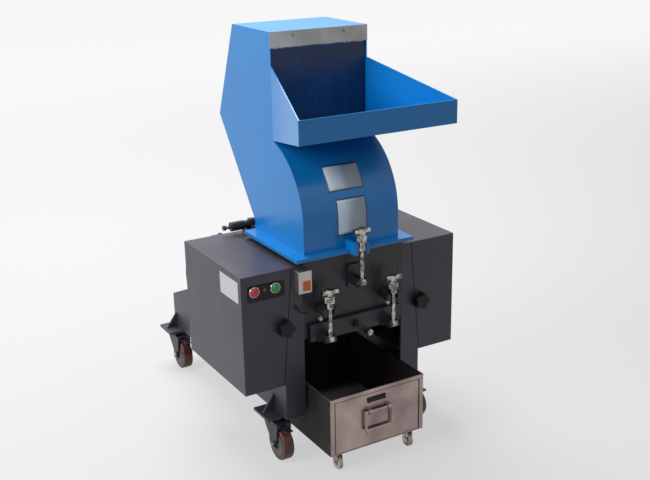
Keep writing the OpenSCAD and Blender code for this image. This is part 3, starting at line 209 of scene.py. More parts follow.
# A finished piece: its coat, the body it rides on and its material's slot.
def finish_piece(name, mesh, material, body):
    if material:
        mesh.materials.clear()
        mesh.materials.append(material)
    piece = bpy.data.objects.new(name, mesh)
    bpy.context.scene.collection.objects.link(piece)
    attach(piece, body)
    return piece


def body_of_node(name):
    return next(b for b, members in frame["record"]["behaviour"]["bodies"].items() if name in members)


# Smooth shading everywhere but over edges sharper than the corner, in degrees.
def shade_smooth(work, corner):
    for face in work.faces:
        face.smooth = True
    for side in work.edges:
        side.smooth = side.calc_face_angle(0) < math.radians(corner)


# Edges sharper than the corner rounded over their width in metres, as real ones are.
def round_edges(piece, edge, steps=2, corner=35):
    rounded = piece.modifiers.new("broken_edges", "BEVEL")
    rounded.width = edge
    rounded.segments = steps
    rounded.limit_method = "ANGLE"
    rounded.angle_limit = math.radians(corner)
    rounded.harden_normals = True


# A copy of the CAD node's surface with the edges broken, so that they catch the light. Below the
# joined angle two triangles are one flat. Arcs turn by less than the corner, and folds by more.
def soften(name, material, edge=0.0012, steps=2, join_flats=True):
    same_place, joined, corner = 2e-6, 0.6, 28
    mesh = nodes[name].data.copy()
    work = bmesh.new()
    work.from_mesh(mesh)
    bmesh.ops.remove_doubles(work, verts=work.verts, dist=same_place)
    if join_flats:
        bmesh.ops.dissolve_limit(work, angle_limit=math.radians(joined), verts=work.verts, edges=work.edges)
    shade_smooth(work, corner)
    work.to_mesh(mesh)
    work.free()
    piece = finish_piece(name + "_skin", mesh, material, body_of_node(name))
    round_edges(piece, edge, steps, corner)
    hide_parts(name)
    return piece


for sheet in ("frame_left", "frame_right", "motor_tray", "caster_brackets", "guard_left", "guard_right",
              "belt_cover"):
    soften(sheet, charcoal_powder_coat, edge=0.0015)

# Blank name plate on the left guard: bare rolled aluminium on four blind rivets. Its rolling
# lines are some tenths of a millimetre wide, and 1.1 mm here so that they show as a dull grain.
rolled_aluminium, tree = new_material("rolled_aluminium_plate")
place = add(tree, "ShaderNodeTexCoord")
grain = add(tree, "ShaderNodeMapping", {"Vector": place.outputs["Object"],
                                        "Scale": [grain_of(w) for w in (25, 25, 1.1)]})
lines = add(tree, "ShaderNodeTexNoise", {"Vector": grain.outputs[0], "Scale": 1.0, "Detail": 3.0})
tint = add(tree, "ShaderNodeValToRGB", {"Fac": lines.outputs[0]})
tint.color_ramp.elements[0].position, tint.color_ramp.elements[0].color = 0.3, colour("#B9BABD")
tint.color_ramp.elements[1].position, tint.color_ramp.elements[1].color = 0.7, colour("#D6D7D9")
shine = add(tree, "ShaderNodeMapRange", {"Value": lines.outputs[0], "To Min": 0.3, "To Max": 0.5})
skin = add(tree, "ShaderNodeBsdfPrincipled", {"Base Color": tint.outputs[0], "Metallic": 0.6,
                                             "Roughness": shine.outputs[0]})
add(tree, "ShaderNodeOutputMaterial", {"Surface": skin.outputs[0]})


# A box between two corners, in millimetres.
def put_box(work, low, high):
    low, high = spot(*low), spot(*high)
    made = bmesh.ops.create_cube(work, size=1.0)["verts"]
    bmesh.ops.scale(work, vec=high - low, verts=made)
    bmesh.ops.translate(work, vec=(low + high) / 2, verts=made)


# A turned shape: its profile is pairs of radius and height, and six steps make a hexagon.
def put_turned(work, profile, place_of, steps=32):
    rings = []
    for radius, height in profile:
        ring = []
        for k in range(steps):
            angle = 2 * math.pi * k / steps
            at = Vector((radius * math.cos(angle), radius * math.sin(angle), height)) / 1000
            ring.append(work.verts.new(place_of @ at))
        rings.append(ring)
    for low, high in zip(rings, rings[1:]):
        for k in range(steps):
            work.faces.new((low[k], low[(k + 1) % steps], high[(k + 1) % steps], high[k]))
    work.faces.new(rings[0][::-1])
    work.faces.new(rings[-1])


# The place and direction of a turned shape's axis.
def axis_at(x, y, z, axis):
    turn = {"Z": Matrix.Identity(4), "-Y": Matrix.Rotation(math.pi / 2, 4, "X"),
            "X": Matrix.Rotation(math.pi / 2, 4, "Y"), "-X": Matrix.Rotation(-math.pi / 2, 4, "Y")}[axis]
    return Matrix.Translation(spot(x, y, z)) @ turn


# The finished mesh, faces outwards, smooth but for edges sharper than the corner.
def mesh_from(work, name, corner=35):
    bmesh.ops.recalc_face_normals(work, faces=work.faces)
    shade_smooth(work, corner)
    mesh = bpy.data.meshes.new(name)
    work.to_mesh(mesh)
    work.free()
    return mesh


front, back, foot, top, rivet_in = 17, 129, 514, 575, 5
work = bmesh.new()
put_box(work, (-350.4, front, foot), (-349.8, back, top))
for y in (front + rivet_in, back - rivet_in):
    for z in (foot + rivet_in, top - rivet_in):
        put_turned(work, [(2.6, 0), (2.6, 0.2), (1.7, 0.5), (0.6, 0.6)], axis_at(-350.3, y, z, "-X"), 16)
plate = finish_piece("guard_name_plate", mesh_from(work, "guard_name_plate"), rolled_aluminium,
                     "guard_left_body")
round_edges(plate, 0.0003)

# Welds of the caster ribs: low beads of filler on both sides of each rib, laid in ripples
# 2.1 mm apart and powder coated with the base.
caster_places = {"fl": (-226, 76), "fr": (226, 76), "rl": (-226, 800), "rr": (226, 800)}
ripple_pitch = 2.1


# A row of equal units, built by Geometry Nodes and turned into one plain mesh.
def repeated(name, unit, material, count, step):
    group = bpy.data.node_groups.new(name + "_row", "GeometryNodeTree")
    group.interface.new_socket("Unit", in_out="INPUT", socket_type="NodeSocketGeometry")
    number = group.interface.new_socket("Count", in_out="INPUT", socket_type="NodeSocketInt")
    pace = group.interface.new_socket("Step", in_out="INPUT", socket_type="NodeSocketVector")
    coat = group.interface.new_socket("Coat", in_out="INPUT", socket_type="NodeSocketMaterial")
    group.interface.new_socket("Row", in_out="OUTPUT", socket_type="NodeSocketGeometry")
    given = group.nodes.new("NodeGroupInput")
    line = add(group, "GeometryNodeMeshLine", {"Count": given.outputs["Count"],
                                               "Offset": given.outputs["Step"]})
    copies = add(group, "GeometryNodeInstanceOnPoints", {"Points": line.outputs[0],
                                                         "Instance": given.outputs["Unit"]})
    solid = add(group, "GeometryNodeRealizeInstances", {0: copies.outputs[0]})
    coated = add(group, "GeometryNodeSetMaterial", {"Geometry": solid.outputs[0],
                                                    "Material": given.outputs["Coat"]})
    add(group, "NodeGroupOutput", {0: coated.outputs[0]})
    holder = bpy.data.objects.new(name + "_unit", unit)
    bpy.context.scene.collection.objects.link(holder)
    maker = holder.modifiers.new("row", "NODES")
    maker.node_group = group
    maker[number.identifier] = count
    maker[pace.identifier] = tuple(v / 1000 for v in step)
    maker[coat.identifier] = material
    bpy.context.view_layer.update()
    seen_by = holder.evaluated_get(bpy.context.evaluated_depsgraph_get())
    mesh = bpy.data.meshes.new_from_object(seen_by)
    bpy.data.objects.remove(holder)
    mesh.name = name
    return mesh


for corner, (cx, cy) in caster_places.items():
    side = math.copysign(1, cx)
    for face in (-1, 1):
        work = bmesh.new()
        put_turned(work, [(0.4, 0), (2.1, 0.6), (2.3, 1.4), (1.9, 2.6)],
                   axis_at(cx + side * 4, cy + face * 3.4, 138.6, "X"), 12)
        bead = repeated(f"rib_weld_{corner}_{'front' if face < 0 else 'rear'}", mesh_from(work, "ripple"),
                        charcoal_powder_coat, 16, (side * ripple_pitch, 0, 0))
        finish_piece(bead.name, bead, None, "machine")

# Knife chamber: heavy plates bolted between the legs, with the clamp forks and the hinge pin,
# painted with black machine enamel by brush. It shows faint strokes 4 mm wide and 42 mm long.
black_enamel, tree = new_material("black_machine_enamel")
place = add(tree, "ShaderNodeTexCoord")
strokes = add(tree, "ShaderNodeMapping", {"Vector": place.outputs["Object"],
                                          "Scale": [grain_of(w) for w in (4.2, 4.2, 42)]})
brushed = add(tree, "ShaderNodeTexNoise", {"Vector": strokes.outputs[0], "Scale": 1.0, "Detail": 6.0})
tint = add(tree, "ShaderNodeValToRGB", {"Fac": brushed.outputs[0]})
tint.color_ramp.elements[0].position, tint.color_ramp.elements[0].color = 0.3, colour("#191921")
tint.color_ramp.elements[1].position, tint.color_ramp.elements[1].color = 0.75, colour("#2A2932")
dents = add(tree, "ShaderNodeBump", {"Height": brushed.outputs[0], "Strength": 0.12, "Distance": 0.0006})
shine = add(tree, "ShaderNodeMapRange", {"Value": brushed.outputs[0], "To Min": 0.3, "To Max": 0.5})
skin = add(tree, "ShaderNodeBsdfPrincipled", {"Base Color": tint.outputs[0], "Roughness": shine.outputs[0],
                                             "Normal": dents.outputs[0]})
add(tree, "ShaderNodeOutputMaterial", {"Surface": skin.outputs[0]})
for plate in ("chamber_side_left", "chamber_side_right", "chamber_front_wall", "chamber_rear_wall",
              "clamp_brackets", "screen_cradle", "hopper_hinge_pin", "caster_fork_fl", "caster_fork_fr",
              "caster_fork_rl", "caster_fork_rr"):
    soften(plate, black_enamel, edge=0.001)

# Hopper and tray: 3 mm sheet folded and welded, sprayed with a bright blue gloss enamel that
# mirrors the room softly. Its slow waves are 6 mm wide, and its tone drifts over 250 mm. The
# hopper's openings lie in flat faces, so its triangles stay as they are.
blue_enamel, tree = new_material("blue_gloss_enamel")
place = add(tree, "ShaderNodeTexCoord")
peel = add(tree, "ShaderNodeTexNoise", {"Vector": place.outputs["Object"], "Scale": grain_of(6.2),
                                        "Detail": 2.0})
cloud = add(tree, "ShaderNodeTexNoise", {"Vector": place.outputs["Object"], "Scale": grain_of(250),
                                         "Detail": 5.0})
tint = add(tree, "ShaderNodeValToRGB", {"Fac": cloud.outputs[0]})
tint.color_ramp.elements[0].position, tint.color_ramp.elements[0].color = 0.3, colour("#0473BC")
tint.color_ramp.elements[1].position, tint.color_ramp.elements[1].color = 0.75, colour("#0A80C8")
dents = add(tree, "ShaderNodeBump", {"Height": peel.outputs[0], "Strength": 0.05, "Distance": 0.0006})
shine = add(tree, "ShaderNodeMapRange", {"Value": cloud.outputs[0], "To Min": 0.24, "To Max": 0.36})
skin = add(tree, "ShaderNodeBsdfPrincipled", {"Base Color": tint.outputs[0], "Roughness": shine.outputs[0],
                                             "Normal": dents.outputs[0], "Coat Weight": 0.15,
                                             "Coat Roughness": 0.1})
add(tree, "ShaderNodeOutputMaterial", {"Surface": skin.outputs[0]})
soften("hopper_body", blue_enamel, edge=0.0012, steps=3, join_flats=False)
soften("feed_tray", blue_enamel, edge=0.0012, steps=3)

# Two blank plates on the hopper's curved front, where such machines carry their notices: thin
# enamelled sheet that follows the bend, left bare, each on a slightly larger black backing.
notice_enamel, tree = new_material("pale_plate_enamel")
place = add(tree, "ShaderNodeTexCoord")
cloud = add(tree, "ShaderNodeTexNoise", {"Vector": place.outputs["Object"], "Scale": grain_of(16.5),
                                         "Detail": 3.0})
tint = add(tree, "ShaderNodeValToRGB", {"Fac": cloud.outputs[0]})
tint.color_ramp.elements[0].color, tint.color_ramp.elements[1].color = colour("#9FB0C0"), colour("#B6C3CE")
skin = add(tree, "ShaderNodeBsdfPrincipled", {"Base Color": tint.outputs[0], "Roughness": 0.35})
add(tree, "ShaderNodeOutputMaterial", {"Surface": skin.outputs[0]})
hopper_front, bend_start, bend_radius, steps_up = 4, 690, 224, 12
for name, x0, x1, z0, z1, out, coat in (
        ("upper_plate_rim", -63, 50, 776, 841, 0.4, black_enamel),
        ("upper_blank_plate", -60, 47, 779, 838, 0.9, notice_enamel),
        ("lower_plate_rim", -47, 49, 652, 755, 0.4, black_enamel),
        ("lower_blank_plate", -44, 46, 655, 752, 0.9, notice_enamel)):
    work = bmesh.new()
    rows = []
    for k in range(steps_up + 1):
        z = z0 + (z1 - z0) * k / steps_up
        bend = bend_radius - math.sqrt(bend_radius ** 2 - max(0, z - bend_start) ** 2)
        rows.append([work.verts.new(spot(x, hopper_front + bend - out, z)) for x in (x0, x1)])
    for low, high in zip(rows, rows[1:]):
        work.faces.new((low[0], low[1], high[1], high[0]))
    sheet = finish_piece(name, mesh_from(work, name), coat, "hopper")
    thick = sheet.modifiers.new("sheet", "SOLIDIFY")
    thick.thickness = 0.001
    thick.offset = -1.0

# Strip over the mouth and the bin's front: stainless sheet brushed along its length, with the
# 0.1 mm lines drawn 1.1 mm wide so that they show. On the bin, handling and weld heat have left
# a warm stain in patches about 110 mm wide.
stainless = []
for finish, shade, light in (("brushed_stainless_sheet", "#959492", "#B4B3B1"),
                             ("heat_stained_stainless_sheet", "#8C7B78", "#B3A49F")):
    sheet_steel, tree = new_material(finish)
    place = add(tree, "ShaderNodeTexCoord")
    grain = add(tree, "ShaderNodeMapping", {"Vector": place.outputs["Object"],
                                            "Scale": [grain_of(w) for w in (250, 16.5, 1.1)]})
    lines = add(tree, "ShaderNodeTexNoise", {"Vector": grain.outputs[0], "Scale": 1.0, "Detail": 3.0})
    stain = add(tree, "ShaderNodeTexNoise", {"Vector": place.outputs["Object"], "Scale": grain_of(110),
                                             "Detail": 6.0})
    tint = add(tree, "ShaderNodeValToRGB", {"Fac": stain.outputs[0]})
    tint.color_ramp.elements[0].position, tint.color_ramp.elements[0].color = 0.35, colour(shade)
    tint.color_ramp.elements[1].position, tint.color_ramp.elements[1].color = 0.65, colour(light)
    dents = add(tree, "ShaderNodeBump", {"Height": lines.outputs[0], "Strength": 0.12, "Distance": 0.0003})
    shine = add(tree, "ShaderNodeMapRange", {"Value": stain.outputs[0], "From Min": 0.3, "From Max": 0.7,
                                             "To Min": 0.24, "To Max": 0.42})
    skin = add(tree, "ShaderNodeBsdfPrincipled", {"Base Color": tint.outputs[0], "Metallic": 1.0,
                                                 "Roughness": shine.outputs[0], "Normal": dents.outputs[0]})
    add(tree, "ShaderNodeOutputMaterial", {"Surface": skin.outputs[0]})
    stainless.append(sheet_steel)
clean_stainless, stainless_sheet = stainless

# The bin's other sheets: a dull, near black sheet with browner patches of 33 mm, painted shade
# for the bin's shaded inside, back and sides.
black_sheet_and_painted_shade, tree = new_material("near_black_sheet_and_painted_shade")
place = add(tree, "ShaderNodeTexCoord")
dust = add(tree, "ShaderNodeTexNoise", {"Vector": place.outputs["Object"], "Scale": grain_of(33),
                                        "Detail": 5.0})
tint = add(tree, "ShaderNodeValToRGB", {"Fac": dust.outputs[0]})
tint.color_ramp.elements[0].position, tint.color_ramp.elements[0].color = 0.3, colour("#161313")
tint.color_ramp.elements[1].position, tint.color_ramp.elements[1].color = 0.75, colour("#2B2524")
skin = add(tree, "ShaderNodeBsdfPrincipled", {"Base Color": tint.outputs[0], "Metallic": 0.4,
                                             "Roughness": 0.6})
add(tree, "ShaderNodeOutputMaterial", {"Surface": skin.outputs[0]})
soften("hood_strip", clean_stainless, edge=0.0008)
box_piece = soften("bin", stainless_sheet, edge=0.0008)
box_piece.data.materials.append(black_sheet_and_painted_shade)
# Its front sheet and its rim are stainless, and all that stands behind takes the near black sheet as painted
# shade.
behind_front_sheet, rim_height = -0.4715, 0.233
for face in box_piece.data.polygons:
    if face.center.y > behind_front_sheet and not abs(face.center.z - rim_height) < 0.0001:
        face.material_index = 1

# Bin front: folded angle strips round the edges, riveted, with thin near black boxes beside them as painted
# shadow gaps, and a blank label holder over the drop handle.
bin_side, strip_inner, bin_face, bin_back, bin_top = 155.8, 143, -122.5, 296, 233.4
strip_middle = (bin_side + strip_inner) / 2
strip_face, top_strip_low, rim_width, rim_low = bin_face - 3.7, 222, 2.6, 231
work = bmesh.new()
for x in (-bin_side, strip_inner):
    put_box(work, (x, strip_face - 0.2, 58), (x + bin_side - strip_inner, bin_face, bin_top))
put_box(work, (-strip_inner, strip_face, top_strip_low), (strip_inner, bin_face, bin_top))
for x in (-bin_side, bin_side - rim_width):
    put_box(work, (x, bin_face - 0.5, rim_low), (x + rim_width, bin_back, bin_top + 0.2))
for x in (-strip_middle, strip_middle):
    for z in (70, 110, 150, 190, 226):
        put_turned(work, [(3.6, 0), (3.4, 1.0), (1.8, 2.0)], axis_at(x, strip_face, z, "-Y"), 16)
rails = finish_piece("bin_front_strips", mesh_from(work, "bin_front_strips"), stainless_sheet, "bin_body")
round_edges(rails, 0.0009)
# Painted shadow gaps: thin near black boxes beside the side strips, under the top strip and along the
# bottom.
shadow_line_end, shadow_line_out, shadow_line_in = strip_inner - 0.1, bin_face - 0.6, bin_face + 0.1
work = bmesh.new()
for low_x, high_x, low_z, high_z in ((-shadow_line_end, -138.6, 60.7, 218.4), (141.7, shadow_line_end, 60.7, 218.4),
                                     (-shadow_line_end, shadow_line_end, 218.5, 221.9), (-shadow_line_end, shadow_line_end, 59, 60.6)):
    put_box(work, (low_x, shadow_line_out, low_z), (high_x, shadow_line_in, high_z))
finish_piece("bin_edge_shadow_lines", mesh_from(work, "bin_edge_shadow_lines"), black_sheet_and_painted_shade, "bin_body")
soften("bin_handle", stainless_sheet, edge=0.0007, steps=3)
label_face = bin_face - 4.1
work = bmesh.new()
put_box(work, (-34, label_face, 193), (26, bin_face, 207))
put_box(work, (-32, label_face - 0.8, 194.5), (24, label_face, 205.5))
label_holder = finish_piece("bin_label_holder", mesh_from(work, "bin_label_holder"), black_sheet_and_painted_shade, "bin_body")
round_edges(label_holder, 0.0004)

# Clamp bolts, nuts, handles and bolt heads: turned steel, bright zinc plated. Dark and light patches about
# 13 mm wide are partly dirt and partly painted reflection contrast. The 0.2 mm turning marks are 1.4 mm here
# so that they show.
zinc_plate, tree = new_material("bright_zinc_plate")
place = add(tree, "ShaderNodeTexCoord")
sheen_and_dirt_patches = add(tree, "ShaderNodeTexNoise", {"Vector": place.outputs["Object"], "Scale": grain_of(13.3),
                                         "Detail": 4.0})
tint = add(tree, "ShaderNodeValToRGB", {"Fac": sheen_and_dirt_patches.outputs[0]})
tint.color_ramp.elements[0].position, tint.color_ramp.elements[0].color = 0.4, colour("#6A665F")
tint.color_ramp.elements[1].position, tint.color_ramp.elements[1].color = 0.64, colour("#C9C6BF")
marks = add(tree, "ShaderNodeTexNoise", {"Vector": place.outputs["Object"], "Scale": grain_of(1.4),
                                         "Detail": 2.0})
dents = add(tree, "ShaderNodeBump", {"Height": marks.outputs[0], "Strength": 0.08, "Distance": 0.0002})
shine = add(tree, "ShaderNodeMapRange", {"Value": sheen_and_dirt_patches.outputs[0], "To Min": 0.16, "To Max": 0.34})
skin = add(tree, "ShaderNodeBsdfPrincipled", {"Base Color": tint.outputs[0], "Metallic": 1.0,
                                             "Roughness": shine.outputs[0], "Normal": dents.outputs[0]})
add(tree, "ShaderNodeOutputMaterial", {"Surface": skin.outputs[0]})
for piece in ("chamber_bolts", "hopper_eye_bolt", "hopper_clamp_nut", "left_eye_bolt", "left_clamp_nut",
              "right_eye_bolt", "right_clamp_nut", "cradle_handle", "bin_caster_brackets"):
    round_knob = piece.endswith("clamp_nut")
    soften(piece, zinc_plate, edge=0.003 if round_knob else 0.0007, steps=3)

# Threads of the three clamp bolts: rolled metric ridges, each a turned ring repeated up the rod.
clamps_y, lower_clamp_x, thread_pitch = -45, 105, 1.75
for rod, body, x, low, count in (("left_thread", "left_clamp_bolt", -lower_clamp_x, 396, 40),
                                 ("right_thread", "right_clamp_bolt", lower_clamp_x, 396, 40),
                                 ("hopper_thread", "hopper_clamp_bolt", 0, 542, 42)):
    work = bmesh.new()
    put_turned(work, [(5.8, 0), (6.5, 0.7), (6.5, 1.0), (5.8, 1.7)], axis_at(x, clamps_y, low, "Z"), 28)
    thread = repeated(rod, mesh_from(work, "ridge"), zinc_plate, count, (0, 0, thread_pitch))
    finish_piece(rod, thread, None, body)

# Hexagon bodies of the clamp nuts, drawn over the turned bosses, with chamfered ends.
for body, x, low in (("left_nut", -lower_clamp_x, 484), ("right_nut", lower_clamp_x, 484),
                     ("hopper_nut", 0, 642)):
    work = bmesh.new()
    put_turned(work, [(13, 0), (15.5, 1.6), (15.5, 20.4), (13, 22)], axis_at(x, clamps_y, low, "Z"), 6)
    hexagon = finish_piece(body + "_hexagon", mesh_from(work, "hexagon"), zinc_plate, body)
    round_edges(hexagon, 0.0005)

# Bright tail of the hinge pin, the grease nipples on both bearings and the nuts and ball races of
# the casters: turned and pressed steel, zinc plated.
pin_end = axis_at(-237.2, 345, 618, "X")
bearing_x, shaft_y, bearing_top = 190, 150, 521.5
work = bmesh.new()
put_turned(work, [(4.6, 0), (5.2, 0.6), (5.2, 23.5)], pin_end, 24)
put_turned(work, [(8.3, 0), (8.3, 8.2)], pin_end, 6)
for side in (-1, 1):
    put_turned(work, [(3.2, 0), (3.2, 3), (1.8, 3.4), (1.8, 6), (2.6, 7), (1.2, 9)],
               axis_at(side * bearing_x, shaft_y, bearing_top, "Z"), 12)
fittings = finish_piece("zinc_fittings", mesh_from(work, "zinc_fittings"), zinc_plate, "machine")
round_edges(fittings, 0.0003)
caster_turns = {"fl": 0, "fr": 10, "rl": 0, "rr": -25}
fork_half_width, axle_trail, wheel_radius, race_height = 0.0268, -0.038, 0.05, 0.1195
stands = {}
for corner, turn in caster_turns.items():
    cx, cy = caster_places[corner]
    stand = Matrix.Translation(spot(cx, cy, 0)) @ Matrix.Rotation(math.radians(turn), 4, "Z")
    stands[corner] = stand
    work = bmesh.new()
    put_turned(work, [(32.3, 0), (33.6, 1.2), (33.6, 3.2), (32.3, 4.4)],
               stand @ Matrix.Translation((0, 0, race_height)), 48)
    for side in (-1, 1):
        out = (stand @ Matrix.Translation((side * fork_half_width, axle_trail, wheel_radius))
               @ Matrix.Rotation(side * math.pi / 2, 4, "Y"))
        put_turned(work, [(9.5, 0), (9.5, 1.2)], out, 24)
        put_turned(work, [(8, 1.1), (8, 5), (6.6, 5.8)], out, 6)
    nuts = finish_piece("caster_nuts_" + corner, mesh_from(work, "caster_nuts"), zinc_plate,
                        "swivel_" + corner)
    round_edges(nuts, 0.0003)

# Bearings, pulleys, flywheel and rotor: grey cast iron, sand cast, then turned where belts and
# keys sit. The skin is pitted by sand under a thin grey primer, in pits drawn 1.9 mm wide.
grey_iron, tree = new_material("primed_grey_cast_iron")
place = add(tree, "ShaderNodeTexCoord")
sand = add(tree, "ShaderNodeTexNoise", {"Vector": place.outputs["Object"], "Scale": grain_of(1.9),
                                        "Detail": 4.0})
patch = add(tree, "ShaderNodeTexNoise", {"Vector": place.outputs["Object"], "Scale": grain_of(70),
                                         "Detail": 4.0})
tint = add(tree, "ShaderNodeValToRGB", {"Fac": patch.outputs[0]})
tint.color_ramp.elements[0].position, tint.color_ramp.elements[0].color = 0.3, colour("#51565A")
tint.color_ramp.elements[1].position, tint.color_ramp.elements[1].color = 0.75, colour("#6B7073")
dents = add(tree, "ShaderNodeBump", {"Height": sand.outputs[0], "Strength": 0.3, "Distance": 0.0004})
shine = add(tree, "ShaderNodeMapRange", {"Value": sand.outputs[0], "To Min": 0.45, "To Max": 0.62})
skin = add(tree, "ShaderNodeBsdfPrincipled", {"Base Color": tint.outputs[0], "Metallic": 0.25,
                                             "Roughness": shine.outputs[0], "Normal": dents.outputs[0]})
add(tree, "ShaderNodeOutputMaterial", {"Surface": skin.outputs[0]})
for casting in ("bearing_housings", "rotor_hub", "drive_pulley", "flywheel", "motor_pulley"):
    soften(casting, grey_iron, edge=0.001)

# Knives, shaft and screen: tool steel and mild steel, ground or turned bright. A thin oily film
# dulls them in patches, and their fine grinding lines are drawn 2 mm wide.
ground_steel, tree = new_material("ground_tool_steel")
place = add(tree, "ShaderNodeTexCoord")
grain = add(tree, "ShaderNodeMapping", {"Vector": place.outputs["Object"],
                                        "Scale": [grain_of(w) for w in (165, 2, 2)]})
lines = add(tree, "ShaderNodeTexNoise", {"Vector": grain.outputs[0], "Scale": 1.0, "Detail": 2.0})
film = add(tree, "ShaderNodeTexNoise", {"Vector": place.outputs["Object"], "Scale": grain_of(40),
                                        "Detail": 4.0})
tint = add(tree, "ShaderNodeValToRGB", {"Fac": film.outputs[0]})
tint.color_ramp.elements[0].position, tint.color_ramp.elements[0].color = 0.3, colour("#8E8E90")
tint.color_ramp.elements[1].position, tint.color_ramp.elements[1].color = 0.7, colour("#B5B5B5")
dents = add(tree, "ShaderNodeBump", {"Height": lines.outputs[0], "Strength": 0.15, "Distance": 0.0003})
shine = add(tree, "ShaderNodeMapRange", {"Value": film.outputs[0], "To Min": 0.22, "To Max": 0.4})
skin = add(tree, "ShaderNodeBsdfPrincipled", {"Base Color": tint.outputs[0], "Metallic": 1.0,
                                             "Roughness": shine.outputs[0], "Normal": dents.outputs[0]})
add(tree, "ShaderNodeOutputMaterial", {"Surface": skin.outputs[0]})
# Ground edges stay sharp, so these nodes only take the material.
for piece in ("bed_knives", "rotor_knives", "rotor_shaft", "screen"):
    nodes[piece].data.materials.clear()
    nodes[piece].data.materials.append(ground_steel)

# Belts: three V belts of black neoprene wrapped in cloth with a 1.5 mm weave, which is dull and
# holds a trace of dust.
belt_rubber, tree = new_material("black_neoprene_belt")
place = add(tree, "ShaderNodeTexCoord")
cloth = add(tree, "ShaderNodeTexNoise", {"Vector": place.outputs["Object"], "Scale": grain_of(1.5),
                                         "Detail": 2.0})
tint = add(tree, "ShaderNodeValToRGB", {"Fac": cloth.outputs[0]})
tint.color_ramp.elements[0].color, tint.color_ramp.elements[1].color = colour("#151516"), colour("#2A2A2B")
dents = add(tree, "ShaderNodeBump", {"Height": cloth.outputs[0], "Strength": 0.3, "Distance": 0.0003})
skin = add(tree, "ShaderNodeBsdfPrincipled", {"Base Color": tint.outputs[0], "Roughness": 0.75,
                                             "Normal": dents.outputs[0]})
add(tree, "ShaderNodeOutputMaterial", {"Surface": skin.outputs[0]})
soften("drive_belts", belt_rubber, edge=0.0006)

# Limit switch: die cast aluminium box, screwed to the leg's face. Bead blasting leaves it evenly
# matt, with dimples of a few tenths of a millimetre that are 1.25 mm here.
cast_aluminium, tree = new_material("blasted_cast_aluminium")
place = add(tree, "ShaderNodeTexCoord")
beads = add(tree, "ShaderNodeTexNoise", {"Vector": place.outputs["Object"], "Scale": grain_of(1.25),
                                         "Detail": 2.0})
dents = add(tree, "ShaderNodeBump", {"Height": beads.outputs[0], "Strength": 0.25, "Distance": 0.0003})
shine = add(tree, "ShaderNodeMapRange", {"Value": beads.outputs[0], "To Min": 0.35, "To Max": 0.5})
skin = add(tree, "ShaderNodeBsdfPrincipled", {"Base Color": colour("#B4B4B0"), "Metallic": 1.0,
                                             "Roughness": shine.outputs[0], "Normal": dents.outputs[0]})
add(tree, "ShaderNodeOutputMaterial", {"Surface": skin.outputs[0]})
soften("switch_body", cast_aluminium, edge=0.002, steps=3)

# Star knobs, switch plunger and control panel: black moulded ABS with an even shine and a spark
# eroded texture, 0.1 mm on the mould and 1.1 mm here.
black_abs, tree = new_material("black_moulded_abs")
place = add(tree, "ShaderNodeTexCoord")
spark = add(tree, "ShaderNodeTexNoise", {"Vector": place.outputs["Object"], "Scale": grain_of(1.1),
                                         "Detail": 1.0})
dents = add(tree, "ShaderNodeBump", {"Height": spark.outputs[0], "Strength": 0.15, "Distance": 0.0002})
shine = add(tree, "ShaderNodeMapRange", {"Value": spark.outputs[0], "To Min": 0.2, "To Max": 0.32})
skin = add(tree, "ShaderNodeBsdfPrincipled", {"Base Color": colour("#121214"), "Roughness": shine.outputs[0],
                                             "Normal": dents.outputs[0], "Specular IOR Level": 0.25})
add(tree, "ShaderNodeOutputMaterial", {"Surface": skin.outputs[0]})
for moulding in ("guard_knob_left", "guard_knob_right"):
    soften(moulding, black_abs, edge=0.0025, steps=3)
soften("control_panel", black_abs, edge=0.001)
soften("switch_plunger", black_abs, edge=0.001)

# Push buttons: domed polycarbonate caps, red to stop and green to start. They are glossy, with
# faint flow marks about 8 mm wide.
for button, hue, cap_name in (("stop_button", "#DC1418", "red"), ("start_button", "#0A9C4A", "green")):
    cap_plastic, tree = new_material(cap_name + "_gloss_polycarbonate")
    place = add(tree, "ShaderNodeTexCoord")
    flow = add(tree, "ShaderNodeTexNoise", {"Vector": place.outputs["Object"], "Scale": grain_of(8.3)})
    shine = add(tree, "ShaderNodeMapRange", {"Value": flow.outputs[0], "To Min": 0.12, "To Max": 0.22})
    skin = add(tree, "ShaderNodeBsdfPrincipled", {"Base Color": colour(hue), "Roughness": shine.outputs[0],
                                                 "Coat Weight": 0.2})
    add(tree, "ShaderNodeOutputMaterial", {"Surface": skin.outputs[0]})
    soften(button, cap_plastic, edge=0.0025, steps=4)

# Bezels of the buttons: turned brass with a rounded rim, polished and chrome plated. They mirror
# the room, with a slight haze in patches of 5 mm. Each is turned as a closed disc, then its two
# ends are taken off, so that it is a ring round its cap.
chrome_plate, tree = new_material("polished_chrome_plate")
place = add(tree, "ShaderNodeTexCoord")
haze = add(tree, "ShaderNodeTexNoise", {"Vector": place.outputs["Object"], "Scale": grain_of(5),
                                        "Detail": 2.0})
shine = add(tree, "ShaderNodeMapRange", {"Value": haze.outputs[0], "To Min": 0.05, "To Max": 0.16})
skin = add(tree, "ShaderNodeBsdfPrincipled", {"Base Color": colour("#9B9DA1"), "Metallic": 1.0,
                                             "Roughness": shine.outputs[0]})
add(tree, "ShaderNodeOutputMaterial", {"Surface": skin.outputs[0]})
buttons_height = 546.7
for name, x in (("stop_bezel", -312.4), ("start_bezel", -249.45)):
    work = bmesh.new()
    rim = axis_at(x, -2, buttons_height, "-Y")
    put_turned(work, [(15.9, 0), (15.9, 2.6), (15.0, 4.6), (13.2, 5.6), (11.6, 5.0), (11.3, 4.1)], rim, 48)
    bmesh.ops.delete(work, geom=[f for f in work.faces if len(f.verts) > 4], context="FACES_ONLY")
    finish_piece(name, mesh_from(work, name, 60), chrome_plate, "guard_left_body")

